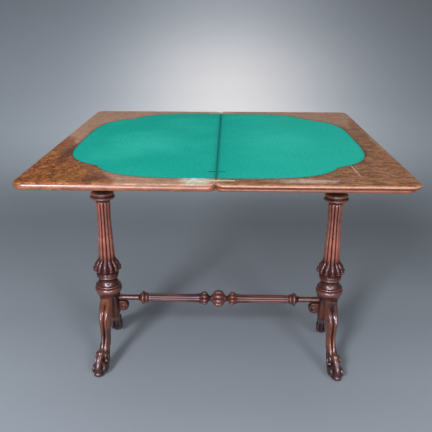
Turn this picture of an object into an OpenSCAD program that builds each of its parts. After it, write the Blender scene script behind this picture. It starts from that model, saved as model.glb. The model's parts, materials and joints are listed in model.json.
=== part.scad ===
// Fold-over card table on twin turned columns: a swivelling top of two leaves, shown open.
// The hinge line runs front to back along Y at x = 0, the stretcher along X, the floor is z = 0.

/* [Top] */
// Height of the playing surface above the floor
top_height = 720; // [690:1:750]
// Depth of one leaf, from the hinge line to its outer edge
leaf_depth = 452; // [440:1:470]
// Length of the leaves along the hinge line
leaf_length = 914; // [890:1:940]
// Thickness of a leaf
leaf_thick = 19; // [18:0.5:24]
// Thickness of the moulded upper board of the lower leaf
lip_thick = 9.5; // [9.5:0.5:12]
// Clearance of the left-hand leaf over the rails
flap_clear = 0.5; // [0.5:0.1:1]
// Set-back of the lower leaf's under board from its outer edge
lip_inset = 11; // [8:1:16]
// Set-back of the lower leaf's under board from its two ends
lip_end_inset = 7; // [5:1:13]
// Plan radius of the outer corners
outer_corner_r = 28; // [24:1:36]
// Plan radius of the corners beside the hinge line
hinge_corner_r = 18; // [16:1:21]
// Step between a board's face and its rounded edge
edge_quirk = 0.5; // [0.3:0.1:1]

/* [Baize] */
// Thickness of the cloth
baize_thick = 1; // [0.8:0.1:1.4]
// Depth of the recess that holds the cloth
baize_recess = 1.2; // [1.1:0.1:1.8]
// Wood left showing beyond the cloth at the outer edge of a leaf
side_margin = 62; // [56:1:80]
// Wood left showing beyond the cloth at the two ends of a leaf
end_margin = 50; // [46:1:60]
// How far the side bow stops short of the end bow
side_bow_step = 73; // [60:1:90]
// How far the end bow stops short of the side bow
end_bow_step = 69; // [50:1:90]

/* [Hinges] */
// Distance from the hinge line to each hinge pin
pin_offset = 3; // [2.6:0.1:3.6]
// Gap between the two leaves' meeting edges
edge_gap = 0.3; // [0.2:0.1:0.6]
// Gap between the leaves when folded
fold_gap = 0.3; // [0.2:0.1:0.6]
// Distance of a hinge from the end of the leaves
hinge_inset = 33; // [27:1:37]
// Length of a hinge plate
plate_length = 42; // [36:1:60]
// Width of a hinge plate
plate_width = 9; // [8:0.5:12]
// Thickness of a hinge plate
plate_thick = 2.5; // [2:0.1:2.8]
// Radius of a hinge pin
pin_r = 1.1; // [0.9:0.05:1.3]
// Thickness of a hinge link
link_thick = 2.4; // [2:0.1:3]
// Running clearance of a hinge pin, on the radius
pin_play = 0.05; // [0.03:0.01:0.08]
// Shank radius of the hinge screws
small_screw_r = 1.2; // [1:0.1:1.4]
// Length of the hinge screws
small_screw_length = 9; // [7:0.5:9]

/* [Frieze box] */
// Overhang of the folded top past the box, at the two ends
end_overhang = 67; // [55:1:75]
// Overhang of the folded top past the box, front and back
side_overhang = 58; // [50:1:62]
// Height of the box
box_height = 76; // [70:1:90]
// Thickness of the rails
rail_thick = 18; // [16:1:22]
// Thickness of the well's bottom board
bottom_thick = 8; // [6:1:10]
// Width of the rail that carries the swivel
pivot_rail_width = 64; // [60:1:80]
// Thickness of the rail that carries the swivel
pivot_rail_thick = 28; // [24:1:32]
// Leg of the triangular corner blocks
corner_block = 30; // [24:1:36]

/* [Swivel] */
// Radius of the swivel stud
stud_r = 6; // [5:0.5:7]
// Running clearance of the stud in its plate, on the radius
stud_play = 0.06; // [0.03:0.01:0.09]
// Side of the square swivel plates
pivot_plate_side = 52; // [48:1:56]
// Thickness of the swivel plates
pivot_plate_thick = 3; // [2.5:0.5:3.5]
// Distance from the swivel to the stop pin
stop_reach = 80; // [70:1:90]
// Radius of the stop pin
stop_pin_r = 4; // [3:0.5:5]
// Clearance round the stop pin in its groove
stop_play = 0.5; // [0.3:0.1:0.8]

/* [Columns] */
// Distance of each column's axis from the end of the box
column_inset = 38; // [34:1:50]
// Height of the turned capitals
capital_height = 83; // [75:1:93]
// Height at which the collar stands on the base block
collar_foot = 216; // [210:1:222]
// Number of reeds on a column
column_reeds = 12; // [10:1:14]
// Largest radius of the carved knop
knop_r = 44.5; // [42:0.5:46]
// Radius of the tenons at the ends of a shaft
shaft_tenon_r = 11; // [9:0.5:12]
// Radius of the tenons into the bearer and the base block
column_tenon_r = 13; // [11:0.5:14]
// Width of a bearer, along the table
bearer_width = 100; // [96:1:120]
// Thickness of a bearer
bearer_thick = 14; // [12:1:14]

/* [Legs] */
// Width of a base block from the column's axis to its inner side, along the table
block_inner = 31; // [29:0.5:34]
// Width of a base block from the column's axis to its outer side, along the table
block_outer = 24; // [22:0.5:31]
// Half depth of a base block
block_half_y = 33; // [32:0.5:36]
// Height of a base block
block_height = 74; // [70:1:80]
// Reach of a foot from the column's axis
foot_reach = 161; // [156:1:176]
// Widest part of a foot
foot_width = 46; // [42:1:50]
// Outward sweep of the legs at the toe
foot_sweep = 18; // [8:1:22]
// Radius of the dowels between a leg and its block
dowel_r = 4; // [3:0.5:5]

/* [Stretcher] */
// Height of the stretcher's axis
stretcher_z = 199; // [196:1:202]
// Radius of the plain ends of the stretcher
stretcher_r = 8.8; // [8.2:0.2:10.4]
// Radius of the carved ball in the middle
ball_r = 28; // [25:0.5:30]
// Number of lobes and reeds on the stretcher
stretcher_reeds = 8; // [7:1:10]
// Radius of the stretcher's tenons
stretcher_tenon_r = 7; // [6:0.5:8]

/* [Hidden] */
$fn = 64;

walnut = [0.33, 0.15, 0.09];
burr = [0.55, 0.33, 0.17];
pine = [0.62, 0.45, 0.27];
baize_green = [0.14, 0.62, 0.53];
brass = [0.76, 0.64, 0.36];
iron = [0.33, 0.33, 0.35];

// Overlap of joined shapes inside one piece
join = 0.5;
// Levels from the top down
leaf_under = top_height - leaf_thick;
lip_under = top_height - lip_thick;
box_under = leaf_under - box_height;
bearer_under = box_under - bearer_thick;
block_under = collar_foot - block_height;
// The pins lie this far under the playing surface, so the folded leaves end one fold_gap apart
pin_depth = pin_offset - fold_gap / 2;
edge_round = pin_offset - edge_gap / 2;
eye_r = min(pin_depth, edge_round);
// The swivel stands where a quarter turn centres the folded top over the box
pivot_at = leaf_depth / 4;
flap_thick = leaf_thick - flap_clear;
outer_nose_r = flap_thick / 2 - edge_quirk;
lip_nose_r = lip_thick / 2 - edge_quirk;
under_nose_r = (leaf_thick - lip_thick) / 2 - edge_quirk;
// The box lies centred under the folded top
box_length = leaf_length - 2 * end_overhang;
box_width = leaf_depth - 2 * side_overhang;
frame_half_l = box_length / 2;
frame_half_w = box_width / 2;
column_x = frame_half_l - column_inset;
hinge_y = leaf_length / 2 - hinge_inset;
// Reach of the cloth's two bows, from the hinge line and from the middle of the leaves
side_bow_x = leaf_depth - side_margin;
end_bow_y = leaf_length / 2 - end_margin;
side_bow_y = end_bow_y - side_bow_step;
end_bow_x = side_bow_x - end_bow_step;

// Smooth curve through hand-picked stations
function blend4(a, b, c, d, t) = 0.5 * (2 * b + (c - a) * t + (2 * a - 5 * b + 4 * c - d) * t * t
  + (3 * b - a - 3 * c + d) * t * t * t);
function smooth(k, n) = concat([for (i = [0 : len(k) - 2], s = [0 : n - 1])
  blend4(k[max(i - 1, 0)], k[i], k[i + 1], k[min(i + 2, len(k) - 1)], s / n)], [k[len(k) - 1]]);

// Solid skin over a stack of rings with equal point counts, given from the bottom up
module skin(rings) {
  n = len(rings[0]);
  m = len(rings);
  polyhedron(
    points = [for (r = rings) each r],
    faces = concat(
      [[for (i = [0 : n - 1]) i]],
      [for (j = [0 : m - 2], i = [0 : n - 1]) each [
        [j * n + i, (j + 1) * n + i, j * n + (i + 1) % n],
        [j * n + (i + 1) % n, (j + 1) * n + i, (j + 1) * n + (i + 1) % n]]],
      [[for (i = [n - 1 : -1 : 0]) (m - 1) * n + i]]),
    convexity = 6);
}

// Turned solid of [height, radius] stations, standing on the Z axis
module turned(stations) {
  rotate_extrude()
    polygon(concat([[0, stations[0][0]]], [for (s = stations) [s[1], s[0]]],
      [[0, stations[len(stations) - 1][0]]]));
}

// Ring of reeds: radius r at each crown, cut back by depth between them
reed_points = 4;
function reed_ring(r, depth, count, z) = [for (i = [0 : count * reed_points - 1])
  let (u = 2 * (i % reed_points) / reed_points - 1, a = 360 * (i - reed_points / 2) / (count * reed_points),
    rr = r - depth * (1 - sqrt(1 - u * u)))
  [rr * cos(a), rr * sin(a), z]];

module reeded(stations, count) skin([for (s = stations) reed_ring(s[1], s[2], count, s[0])]);

// Board with a rounded edge on three sides; the flat hinge side lies on x = 0, the top on z = 0
module edged_board(depth, length, thick, nose_r, corner_r, hinge_r) {
  half = length / 2;
  for (s = [-1, 1]) {
    translate([hinge_r, s * (half - nose_r), -thick / 2])
      rotate([0, 90, 0]) cylinder(r = nose_r, h = depth - hinge_r - corner_r);
    for (c = [[hinge_r, hinge_r, 90], [depth - corner_r, corner_r, 0]])
      translate([c[0], s * (half - c[1]), -thick / 2])
        rotate([0, 0, s > 0 ? c[2] : -90 - c[2]])
          rotate_extrude(angle = 90) translate([c[1] - nose_r, 0]) intersection() {
            circle(r = nose_r);
            translate([-join, -nose_r]) square([nose_r + join, 2 * nose_r]);
          }
  }
  translate([depth - nose_r, half - corner_r, -thick / 2])
    rotate([90, 0, 0]) cylinder(r = nose_r, h = length - 2 * corner_r);
  translate([0, 0, -thick]) {
    translate([0, -half + hinge_r, 0]) cube([depth - corner_r, length - 2 * hinge_r, thick]);
    translate([hinge_r, -half + nose_r, 0])
      cube([depth - hinge_r - corner_r, length - 2 * nose_r, thick]);
    translate([hinge_r, -half + corner_r, 0])
      cube([depth - hinge_r - nose_r, length - 2 * corner_r, thick]);
    for (s = [-1, 1]) {
      translate([hinge_r, s * (half - hinge_r), 0]) cylinder(r = hinge_r - nose_r, h = thick);
      translate([depth - corner_r, s * (half - corner_r), 0])
        cylinder(r = corner_r - nose_r, h = thick);
    }
  }
}

// Rounds the top of a leaf's meeting edge about the pin axis
module meeting_edge_cut() {
  difference() {
    translate([-join, -leaf_length, top_height - pin_depth])
      cube([pin_offset + join, 2 * leaf_length, pin_depth + join]);
    translate([pin_offset, leaf_length, top_height - pin_depth])
      rotate([90, 0, 0]) cylinder(r = eye_r, h = 2 * leaf_length);
  }
}

// Outline of the cloth on one leaf: the outer of two bowed ovals, from the hinge line out
bow_power = 4;
function bow(a, x, y) = pow(pow(abs(cos(a)) / x, bow_power) + pow(abs(sin(a)) / y, bow_power), -1 / bow_power);
function cloth_r(a) = max(bow(a, side_bow_x, side_bow_y), bow(a, end_bow_x, end_bow_y));
cusp_angle = atan(pow((pow(end_bow_x, -bow_power) - pow(side_bow_x, -bow_power))
  / (pow(side_bow_y, -bow_power) - pow(end_bow_y, -bow_power)), 1 / bow_power));
cloth_steps = 12;
cloth_angles = concat(
  [for (i = [0 : cloth_steps - 1]) -90 + (90 - cusp_angle) * i / cloth_steps],
  [for (i = [0 : 2 * cloth_steps - 1]) -cusp_angle + cusp_angle * i / cloth_steps],
  [for (i = [0 : cloth_steps]) cusp_angle + (90 - cusp_angle) * i / cloth_steps]);
module cloth_outline() polygon([for (a = cloth_angles)
  [max(pin_offset, cloth_r(a) * cos(a)), cloth_r(a) * sin(a)]]);

module cloth() {
  color(baize_green)
    translate([0, 0, top_height - baize_recess]) linear_extrude(baize_thick) cloth_outline();
}

// Hinge hardware of the right-hand leaf, at the front; the others are mirrored from it
screw_spots = [0.38, 0.85];
screw_head_r = 2 * small_screw_r;
module small_screw(gap) {
  translate([0, 0, top_height - small_screw_length]) cylinder(r = small_screw_r, h = small_screw_length);
  translate([0, 0, top_height - small_screw_r])
    cylinder(r1 = small_screw_r, r2 = screw_head_r + gap, h = small_screw_r + gap);
}

module at_screws() {
  for (f = screw_spots) translate([plate_length * f, -hinge_y, 0]) children();
}

slot_play = 0.2;
module hinge_plate() {
  color(brass) difference() {
    union() {
      translate([pin_offset, -hinge_y - plate_width / 2, top_height - plate_thick])
        cube([plate_length - pin_offset, plate_width, plate_thick]);
      translate([pin_offset, -hinge_y + plate_width / 2, top_height - pin_depth])
        rotate([90, 0, 0]) cylinder(r = eye_r - slot_play / 2, h = plate_width);
    }
    translate([-join, -hinge_y - link_thick / 2 - slot_play, top_height - 3 * eye_r])
      cube([2 * pin_offset + slot_play + join, link_thick + 2 * slot_play, 4 * eye_r]);
    translate([pin_offset, -hinge_y + plate_width, top_height - pin_depth])
      rotate([90, 0, 0]) cylinder(r = pin_r + pin_play, h = 2 * plate_width);
    at_screws() small_screw(join / 10);
  }
}

module hinge_recess() {
  translate([pin_offset, -hinge_y - plate_width / 2, top_height - plate_thick])
    cube([plate_length - pin_offset, plate_width, plate_thick + join]);
  translate([-join, -hinge_y - plate_width / 2, top_height - 2 * pin_depth - slot_play])
    cube([2 * pin_offset + slot_play + join, plate_width, 2 * pin_depth + slot_play + join]);
  at_screws() small_screw(join);
}

module hinge_screws_right() {
  screw_slot = 0.5;
  for (s = [0, 1]) mirror([0, s, 0])
    color(brass) difference() {
      at_screws() small_screw(0);
      at_screws() translate([-screw_head_r, -screw_slot / 2, top_height - screw_slot])
        cube([2 * screw_head_r, screw_slot, 2 * screw_slot]);
    }
}

module hinge_link() {
  bar_half = eye_r * 0.6;
  color(brass) difference() {
    union() {
      for (s = [-1, 1]) translate([s * pin_offset, -hinge_y + link_thick / 2, top_height - pin_depth])
        rotate([90, 0, 0]) cylinder(r = eye_r - slot_play, h = link_thick);
      translate([-pin_offset, -hinge_y - link_thick / 2, top_height - pin_depth - bar_half])
        cube([2 * pin_offset, link_thick, 2 * bar_half]);
    }
    for (s = [-1, 1]) translate([s * pin_offset, -hinge_y + link_thick, top_height - pin_depth])
      rotate([90, 0, 0]) cylinder(r = pin_r, h = 2 * link_thick);
  }
}

module hinge_pins() {
  color(brass) for (s = [-1, 1], t = [-1, 1])
    translate([s * pin_offset, t * hinge_y + plate_width / 2, top_height - pin_depth])
      rotate([90, 0, 0]) cylinder(r = pin_r, h = plate_width);
}

// Left-hand leaf: one board with a full rounded edge
module flap_board() {
  color(burr) mirror([1, 0, 0]) difference() {
    translate([edge_gap / 2, 0, top_height])
      edged_board(leaf_depth - edge_gap / 2, leaf_length, flap_thick, outer_nose_r, outer_corner_r,
        hinge_corner_r);
    meeting_edge_cut();
    translate([0, 0, top_height - baize_recess]) linear_extrude(2 * baize_recess) cloth_outline();
    for (s = [0, 1]) mirror([0, s, 0]) hinge_recess();
  }
}

// Right-hand leaf: moulded upper board over a set-back under board
module leaf_board() {
  color(burr) difference() {
    translate([edge_gap / 2, 0, top_height])
      edged_board(leaf_depth - edge_gap / 2, leaf_length, lip_thick, lip_nose_r, outer_corner_r,
        hinge_corner_r);
    meeting_edge_cut();
    translate([0, 0, top_height - baize_recess]) linear_extrude(2 * baize_recess) cloth_outline();
    for (s = [0, 1]) mirror([0, s, 0]) hinge_recess();
  }
}

stud_head_r = 11;
pivot_screw_r = 2;
pivot_screw_length = 7.5;
pivot_screw_at = pivot_plate_side / 2 - 7;
module at_pivot_screws() {
  for (sx = [-1, 1], sy = [-1, 1])
    translate([pivot_at + sx * pivot_screw_at, pivot_at + sy * pivot_screw_at, leaf_under]) children();
}

// Countersunk screw with its head flush on z = 0 and its point up
module plate_screw(r, length, gap) {
  translate([0, 0, -gap]) cylinder(r1 = 2 * r + gap, r2 = r, h = r + gap);
  cylinder(r = r, h = length);
}

module stop_groove() {
  w = stop_pin_r + stop_play;
  translate([pivot_at, pivot_at, leaf_under - join]) {
    rotate([0, 0, -90]) rotate_extrude(angle = 90)
      translate([stop_reach - w, 0]) square([2 * w, stop_groove_depth + join]);
    for (p = [[0, -stop_reach], [stop_reach, 0]])
      translate([p[0], p[1], 0]) cylinder(r = w, h = stop_groove_depth + join);
  }
}

stop_groove_depth = 5.5;
module leaf_under_board() {
  thick = leaf_thick - lip_thick;
  color(walnut) difference() {
    translate([edge_gap / 2, 0, lip_under])
      edged_board(leaf_depth - lip_inset - edge_gap / 2, leaf_length - 2 * lip_end_inset, thick, under_nose_r,
        outer_corner_r - lip_end_inset / 2, hinge_corner_r - lip_end_inset / 2);
    translate([pivot_at - pivot_plate_side / 2, pivot_at - pivot_plate_side / 2, leaf_under - join])
      cube([pivot_plate_side, pivot_plate_side, pivot_plate_thick + join]);
    translate([pivot_at, pivot_at, leaf_under])
      cylinder(r = stud_head_r, h = pivot_plate_thick + stud_head_thick);
    at_pivot_screws() cylinder(r = pivot_screw_r, h = pivot_screw_length);
    stop_groove();
  }
}

stud_head_thick = 3;
module pivot_plate() {
  color(iron) difference() {
    translate([pivot_at - pivot_plate_side / 2, pivot_at - pivot_plate_side / 2, leaf_under])
      cube([pivot_plate_side, pivot_plate_side, pivot_plate_thick]);
    translate([pivot_at, pivot_at, leaf_under - join])
      cylinder(r = stud_r, h = pivot_plate_thick + 2 * join);
    at_pivot_screws() plate_screw(pivot_screw_r, pivot_screw_length, join / 10);
  }
}

module pivot_plate_screws() {
  color(iron) at_pivot_screws() plate_screw(pivot_screw_r, pivot_screw_length, 0);
}

washer_r = 14;
washer_thick = 2;
nut_height = 9;
nut_across = 19;
swivel_play = 0.2;
stud_end = 4;
pivot_rail_under = leaf_under - pivot_rail_thick;
washer_under = pivot_rail_under - swivel_play - washer_thick;
nut_under = washer_under - nut_height;
module pivot_stud() {
  color(iron) translate([pivot_at, pivot_at, 0]) {
    translate([0, 0, nut_under - stud_end])
      cylinder(r = stud_r, h = leaf_under + pivot_plate_thick - nut_under + stud_end + join);
    translate([0, 0, leaf_under + pivot_plate_thick]) cylinder(r = stud_head_r, h = stud_head_thick);
  }
}

module pivot_washer() {
  color(iron) translate([pivot_at, pivot_at, washer_under]) difference() {
    cylinder(r = washer_r, h = washer_thick);
    translate([0, 0, -join]) cylinder(r = stud_r, h = washer_thick + 2 * join);
  }
}

module pivot_nut() {
  color(iron) translate([pivot_at, pivot_at, nut_under]) difference() {
    cylinder(r = nut_across / 2 / cos(30), h = nut_height, $fn = 6);
    translate([0, 0, -join]) cylinder(r = stud_r, h = nut_height + 2 * join, $fn = 64);
  }
}

// Plate and screws on the swivel rail, turned over from those on the leaf
module at_bush_screws() {
  for (sx = [-1, 1], sy = [-1, 1])
    translate([pivot_at + sx * pivot_screw_at, pivot_at + sy * pivot_screw_at, leaf_under])
      rotate([180, 0, 0]) children();
}

bush_screw_length = 20;
module pivot_bush_plate() {
  color(iron) difference() {
    translate([pivot_at - pivot_plate_side / 2, pivot_at - pivot_plate_side / 2, leaf_under - pivot_plate_thick])
      cube([pivot_plate_side, pivot_plate_side, pivot_plate_thick]);
    translate([pivot_at, pivot_at, leaf_under - pivot_plate_thick - join])
      cylinder(r = stud_r + stud_play, h = pivot_plate_thick + 2 * join);
    at_bush_screws() plate_screw(pivot_screw_r, bush_screw_length, join / 10);
  }
}

module bush_plate_screws() {
  color(iron) at_bush_screws() plate_screw(pivot_screw_r, bush_screw_length, 0);
}

stop_pin_seat = 16;
module stop_pin_shape() {
  translate([pivot_at, pivot_at - stop_reach, leaf_under - stop_pin_seat])
    cylinder(r = stop_pin_r, h = stop_pin_seat + stop_groove_depth - 1);
}

module stop_pin() color(walnut) stop_pin_shape();

// Frieze box
module rail(x, y, z, sx, sy, sz, tone) color(tone) translate([x, y, z]) cube([sx, sy, sz]);

module frame_rail_y(side) {
  color(walnut) difference() {
    translate([-frame_half_l, side > 0 ? frame_half_w - rail_thick : -frame_half_w, box_under])
      cube([box_length, rail_thick, box_height]);
    at_bearer_screws() plate_screw(bearer_screw_r, bearer_screw_length, 0);
  }
}

module frame_front_rail() frame_rail_y(-1);
module frame_rear_rail() frame_rail_y(1);
module frame_end_rail_left() rail(-frame_half_l, -frame_half_w + rail_thick, box_under, rail_thick,
  box_width - 2 * rail_thick, box_height, walnut);
module frame_end_rail_right() rail(frame_half_l - rail_thick, -frame_half_w + rail_thick, box_under, rail_thick,
  box_width - 2 * rail_thick, box_height, walnut);
module well_bottom_board() rail(-frame_half_l + rail_thick, -frame_half_w + rail_thick, box_under,
  box_length - 2 * rail_thick, box_width - 2 * rail_thick, bottom_thick, pine);

stud_hole_play = 0.8;
module pivot_rail() {
  color(pine) difference() {
    translate([pivot_at - pivot_rail_width / 2, -frame_half_w + rail_thick, pivot_rail_under])
      cube([pivot_rail_width, box_width - 2 * rail_thick, pivot_rail_thick]);
    translate([pivot_at, pivot_at, pivot_rail_under - join])
      cylinder(r = stud_r + stud_hole_play, h = pivot_rail_thick + 2 * join);
    translate([pivot_at - pivot_plate_side / 2, pivot_at - pivot_plate_side / 2, leaf_under - pivot_plate_thick])
      cube([pivot_plate_side, pivot_plate_side, pivot_plate_thick + join]);
    at_bush_screws() plate_screw(pivot_screw_r, bush_screw_length, 0);
    stop_pin_shape();
  }
}

module corner_blocks() {
  color(pine) for (sx = [0, 1], sy = [0, 1]) mirror([sx, 0, 0]) mirror([0, sy, 0])
    translate([frame_half_l - rail_thick, frame_half_w - rail_thick, box_under + bottom_thick])
      linear_extrude(box_height - bottom_thick)
        polygon([[0, 0], [-corner_block, 0], [0, -corner_block]]);
}

// Bearers under the box, and the screws that hold them
bearer_half_y = frame_half_w - 3;
bearer_screw_r = 2.5;
bearer_screw_length = 44;
bearer_screw_dx = 30;
module at_bearer_screws() {
  for (sc = [-1, 1], sx = [-1, 1], sy = [-1, 1])
    translate([sc * column_x + sx * bearer_screw_dx, sy * (frame_half_w - rail_thick / 2 - 1), bearer_under])
      children();
}

module bearer(side) {
  end_r = 20;
  color(walnut) difference() {
    union() {
      for (sx = [-1, 1], sy = [-1, 1])
        translate([side * column_x + sx * (bearer_width / 2 - end_r), sy * (bearer_half_y - end_r), bearer_under])
          cylinder(r = end_r, h = bearer_thick);
      translate([side * column_x - bearer_width / 2, -bearer_half_y + end_r, bearer_under])
        cube([bearer_width, 2 * (bearer_half_y - end_r), bearer_thick]);
      translate([side * column_x - bearer_width / 2 + end_r, -bearer_half_y, bearer_under])
        cube([bearer_width - 2 * end_r, 2 * bearer_half_y, bearer_thick]);
    }
    translate([side * column_x, 0, bearer_under - join])
      cylinder(r = column_tenon_r, h = bearer_thick + 2 * join);
    at_bearer_screws() plate_screw(bearer_screw_r, bearer_screw_length, join / 10);
  }
}

module bearer_screws() {
  color(iron) at_bearer_screws() plate_screw(bearer_screw_r, bearer_screw_length, 0);
}

// Turned columns, in stations of [height above the collar's foot, radius]
collar_top = 65;
capital_foot = bearer_under - capital_height;
shaft_height = capital_foot - collar_foot - collar_top;
collar_stations = [[0, 36], [2, 37], [5, 37], [7, 38.5], [9, 41.5], [13, 43.8], [17, 43.8], [20, 42.6],
  [22, 41], [24, 42], [27, 43.2], [30, 42], [35, 38.5], [42, 33], [49, 31.8], [57, 33], [62, 34.5], [65, 34.5]];
// Stations of the carved knop: [height, crown radius, depth between reeds]
knop_stations = [[0, 34.5, 0], [4, 36, 0.5], [8, 38, 1.5], [14, knop_r - 3, 4.5], [21, knop_r, 6],
  [28, knop_r, 7], [35, knop_r - 3, 7], [42, 36.5, 6], [49, 30, 4.2]];
knop_height = 56;
// The reeded body over the knop, in shares of what is left of the shaft
body_share = [[0, 27, 3.4], [0.06, 25.3, 3], [0.2, 23.8, 2.8], [0.33, 23.4, 2.7], [0.42, 22.2, 2.5],
  [0.52, 21.3, 2.4], [0.62, 20.6, 2.4], [0.73, 20.3, 2.4], [0.84, 20.8, 2.3], [0.91, 21.6, 2.1],
  [0.95, 22.4, 1.6], [0.98, 22.6, 0.7], [1, 22.2, 0]];
shaft_stations = concat(knop_stations,
  [for (b = body_share) [knop_height + b[0] * (shaft_height - knop_height), b[1], b[2]]]);
capital_share = [[0, 22.2], [0.04, 23.6], [0.08, 25.8], [0.11, 26.2], [0.15, 25.4], [0.19, 24.8], [0.23, 29],
  [0.27, 33], [0.315, 35], [0.36, 34], [0.4, 30.5], [0.43, 26], [0.47, 24], [0.6, 23.6], [0.72, 26],
  [0.82, 32], [0.9, 38], [0.91, 41], [1, 41]];
tenon_depth = 16;
module at_column(side) translate([side * column_x, 0, collar_foot]) children();

module column_collar(side) {
  color(walnut) at_column(side) difference() {
    union() {
      turned(smooth(collar_stations, 3));
      translate([0, 0, -2 * tenon_depth]) cylinder(r = column_tenon_r, h = 2 * tenon_depth + join);
    }
    translate([0, 0, collar_top - tenon_depth]) cylinder(r = shaft_tenon_r, h = tenon_depth + join);
  }
}

module column_shaft(side) {
  color(walnut) at_column(side) translate([0, 0, collar_top]) union() {
    reeded(smooth(shaft_stations, 2), column_reeds);
    translate([0, 0, -tenon_depth]) cylinder(r = shaft_tenon_r, h = tenon_depth + join);
    translate([0, 0, shaft_height - join]) cylinder(r = shaft_tenon_r, h = tenon_depth + join);
  }
}

module column_capital(side) {
  color(walnut) translate([side * column_x, 0, capital_foot]) difference() {
    union() {
      turned(smooth([for (s = capital_share) [s[0] * capital_height, s[1]]], 3));
      translate([0, 0, capital_height - join]) cylinder(r = column_tenon_r, h = bearer_thick + join);
    }
    translate([0, 0, -join]) cylinder(r = shaft_tenon_r, h = tenon_depth + join);
  }
}

// Base blocks, with sockets for the collar, the stretcher and the leg dowels
dowel_reach = 13;
dowel_heights = [0.25, 0.72];
stretcher_tenon = 15;
module at_dowels(side) {
  for (f = dowel_heights, s = [-1, 1])
    translate([side * column_x, s * block_half_y, block_under + f * block_height])
      rotate([90, 0, 0]) translate([0, 0, -dowel_reach]) children();
}

module dowels(side) at_dowels(side) cylinder(r = dowel_r, h = 2 * dowel_reach);

module leg_dowels() color(pine) for (side = [-1, 1]) dowels(side);

block_edge_r = 7;
module base_block(side) {
  color(walnut) difference() {
    translate([side * column_x, 0, block_under]) mirror([side < 0 ? 1 : 0, 0, 0]) {
      for (x = [block_edge_r - block_inner, block_outer - block_edge_r], sy = [-1, 1])
        translate([x, sy * (block_half_y - block_edge_r), 0]) cylinder(r = block_edge_r, h = block_height);
      translate([-block_inner, -block_half_y + block_edge_r, 0])
        cube([block_inner + block_outer, 2 * (block_half_y - block_edge_r), block_height]);
      translate([block_edge_r - block_inner, -block_half_y, 0])
        cube([block_inner + block_outer - 2 * block_edge_r, 2 * block_half_y, block_height]);
    }
    at_column(side) translate([0, 0, -2 * tenon_depth]) cylinder(r = column_tenon_r, h = 2 * tenon_depth + join);
    translate([side * (column_x - block_inner), 0, stretcher_z])
      rotate([0, side * 90, 0]) translate([0, 0, -join]) cylinder(r = stretcher_tenon_r, h = stretcher_tenon + join);
    dowels(side);
  }
}

// Cabriole legs, in stations of [height, inner reach, outer reach, half width]; the shares of height,
// reach and width follow the block's underside, the foot's reach and the foot's width
leg_stations = [[0, 0.76, 0.95, 0.3], [0.03, 0.73, 0.98, 0.39], [0.09, 0.7, 1, 0.47], [0.16, 0.67, 1, 0.5],
  [0.23, 0.65, 0.96, 0.5], [0.3, 0.62, 0.88, 0.49], [0.38, 0.56, 0.8, 0.48], [0.46, 0.49, 0.72, 0.45],
  [0.54, 0.43, 0.65, 0.36], [0.62, 0.39, 0.6, 0.3], [0.72, 0.37, 0.57, 0.3], [0.82, 0.35, 0.56, 0.33],
  [0.92, 0.31, 0.565, 0.37], [1, 0.24, 0.575, 0.4]];
knee_stations = [[0.03, 0.15, 0.576, 0.41], [0.2, 0.15, 0.58, 0.43], [0.4, 0.15, 0.565, 0.44],
  [0.6, 0.15, 0.52, 0.44], [0.8, 0.15, 0.43, 0.43], [0.93, 0.15, 0.34, 0.42], [1, 0.15, 0.3, 0.42]];
leg_rows = concat(
  [for (s = leg_stations) [s[0] * block_under, s[1] * foot_reach, s[2] * foot_reach, s[3] * foot_width]],
  [for (s = knee_stations) [block_under + s[0] * block_height, s[1] * foot_reach, s[2] * foot_reach,
    s[3] * foot_width]]);
leg_points = 20;
leg_square = 0.72;
function bulge(v) = sign(v) * pow(abs(v), leg_square);
function leg_ring(row) = [for (i = [0 : leg_points - 1])
  let (a = 360 * i / leg_points, u = (row[1] + row[2]) / 2 + (row[2] - row[1]) / 2 * bulge(cos(a)))
  [row[3] * bulge(sin(a)) + foot_sweep * pow(max(0, u - block_half_y) / (foot_reach - block_half_y), 2),
    -u, row[0]]];

module leg(side, end) {
  color(walnut) translate([side * column_x, 0, 0])
    mirror([side < 0 ? 1 : 0, 0, 0]) mirror([0, end > 0 ? 1 : 0, 0]) difference() {
      skin([for (r = smooth(leg_rows, 1)) leg_ring(r)]);
      translate([-foot_width, -block_half_y, block_under - block_height])
        cube([2 * foot_width, foot_reach, 3 * block_height]);
      translate([-side * column_x, 0, 0]) dowels(side);
    }
}

// Carved scroll under each end of the stretcher, against the block
bracket_half_y = 13;
bracket_roll_r = 15;
bracket_drop = 19;
module scroll_bracket(side) {
  face = column_x - block_inner;
  roof = stretcher_z - stretcher_r;
  color(walnut) mirror([side < 0 ? 1 : 0, 0, 0]) {
    translate([face - bracket_roll_r, bracket_half_y, roof - bracket_drop])
      rotate([90, 0, 0]) cylinder(r = bracket_roll_r, h = 2 * bracket_half_y);
    translate([face - bracket_roll_r, -bracket_half_y, roof - bracket_drop - bracket_roll_r])
      cube([bracket_roll_r, 2 * bracket_half_y, bracket_drop + bracket_roll_r]);
    translate([face - 2 * bracket_roll_r + 3, -bracket_half_y + 3, roof - bracket_drop])
      cube([2 * bracket_roll_r - 3, 2 * bracket_half_y - 6, bracket_drop]);
  }
}

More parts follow.
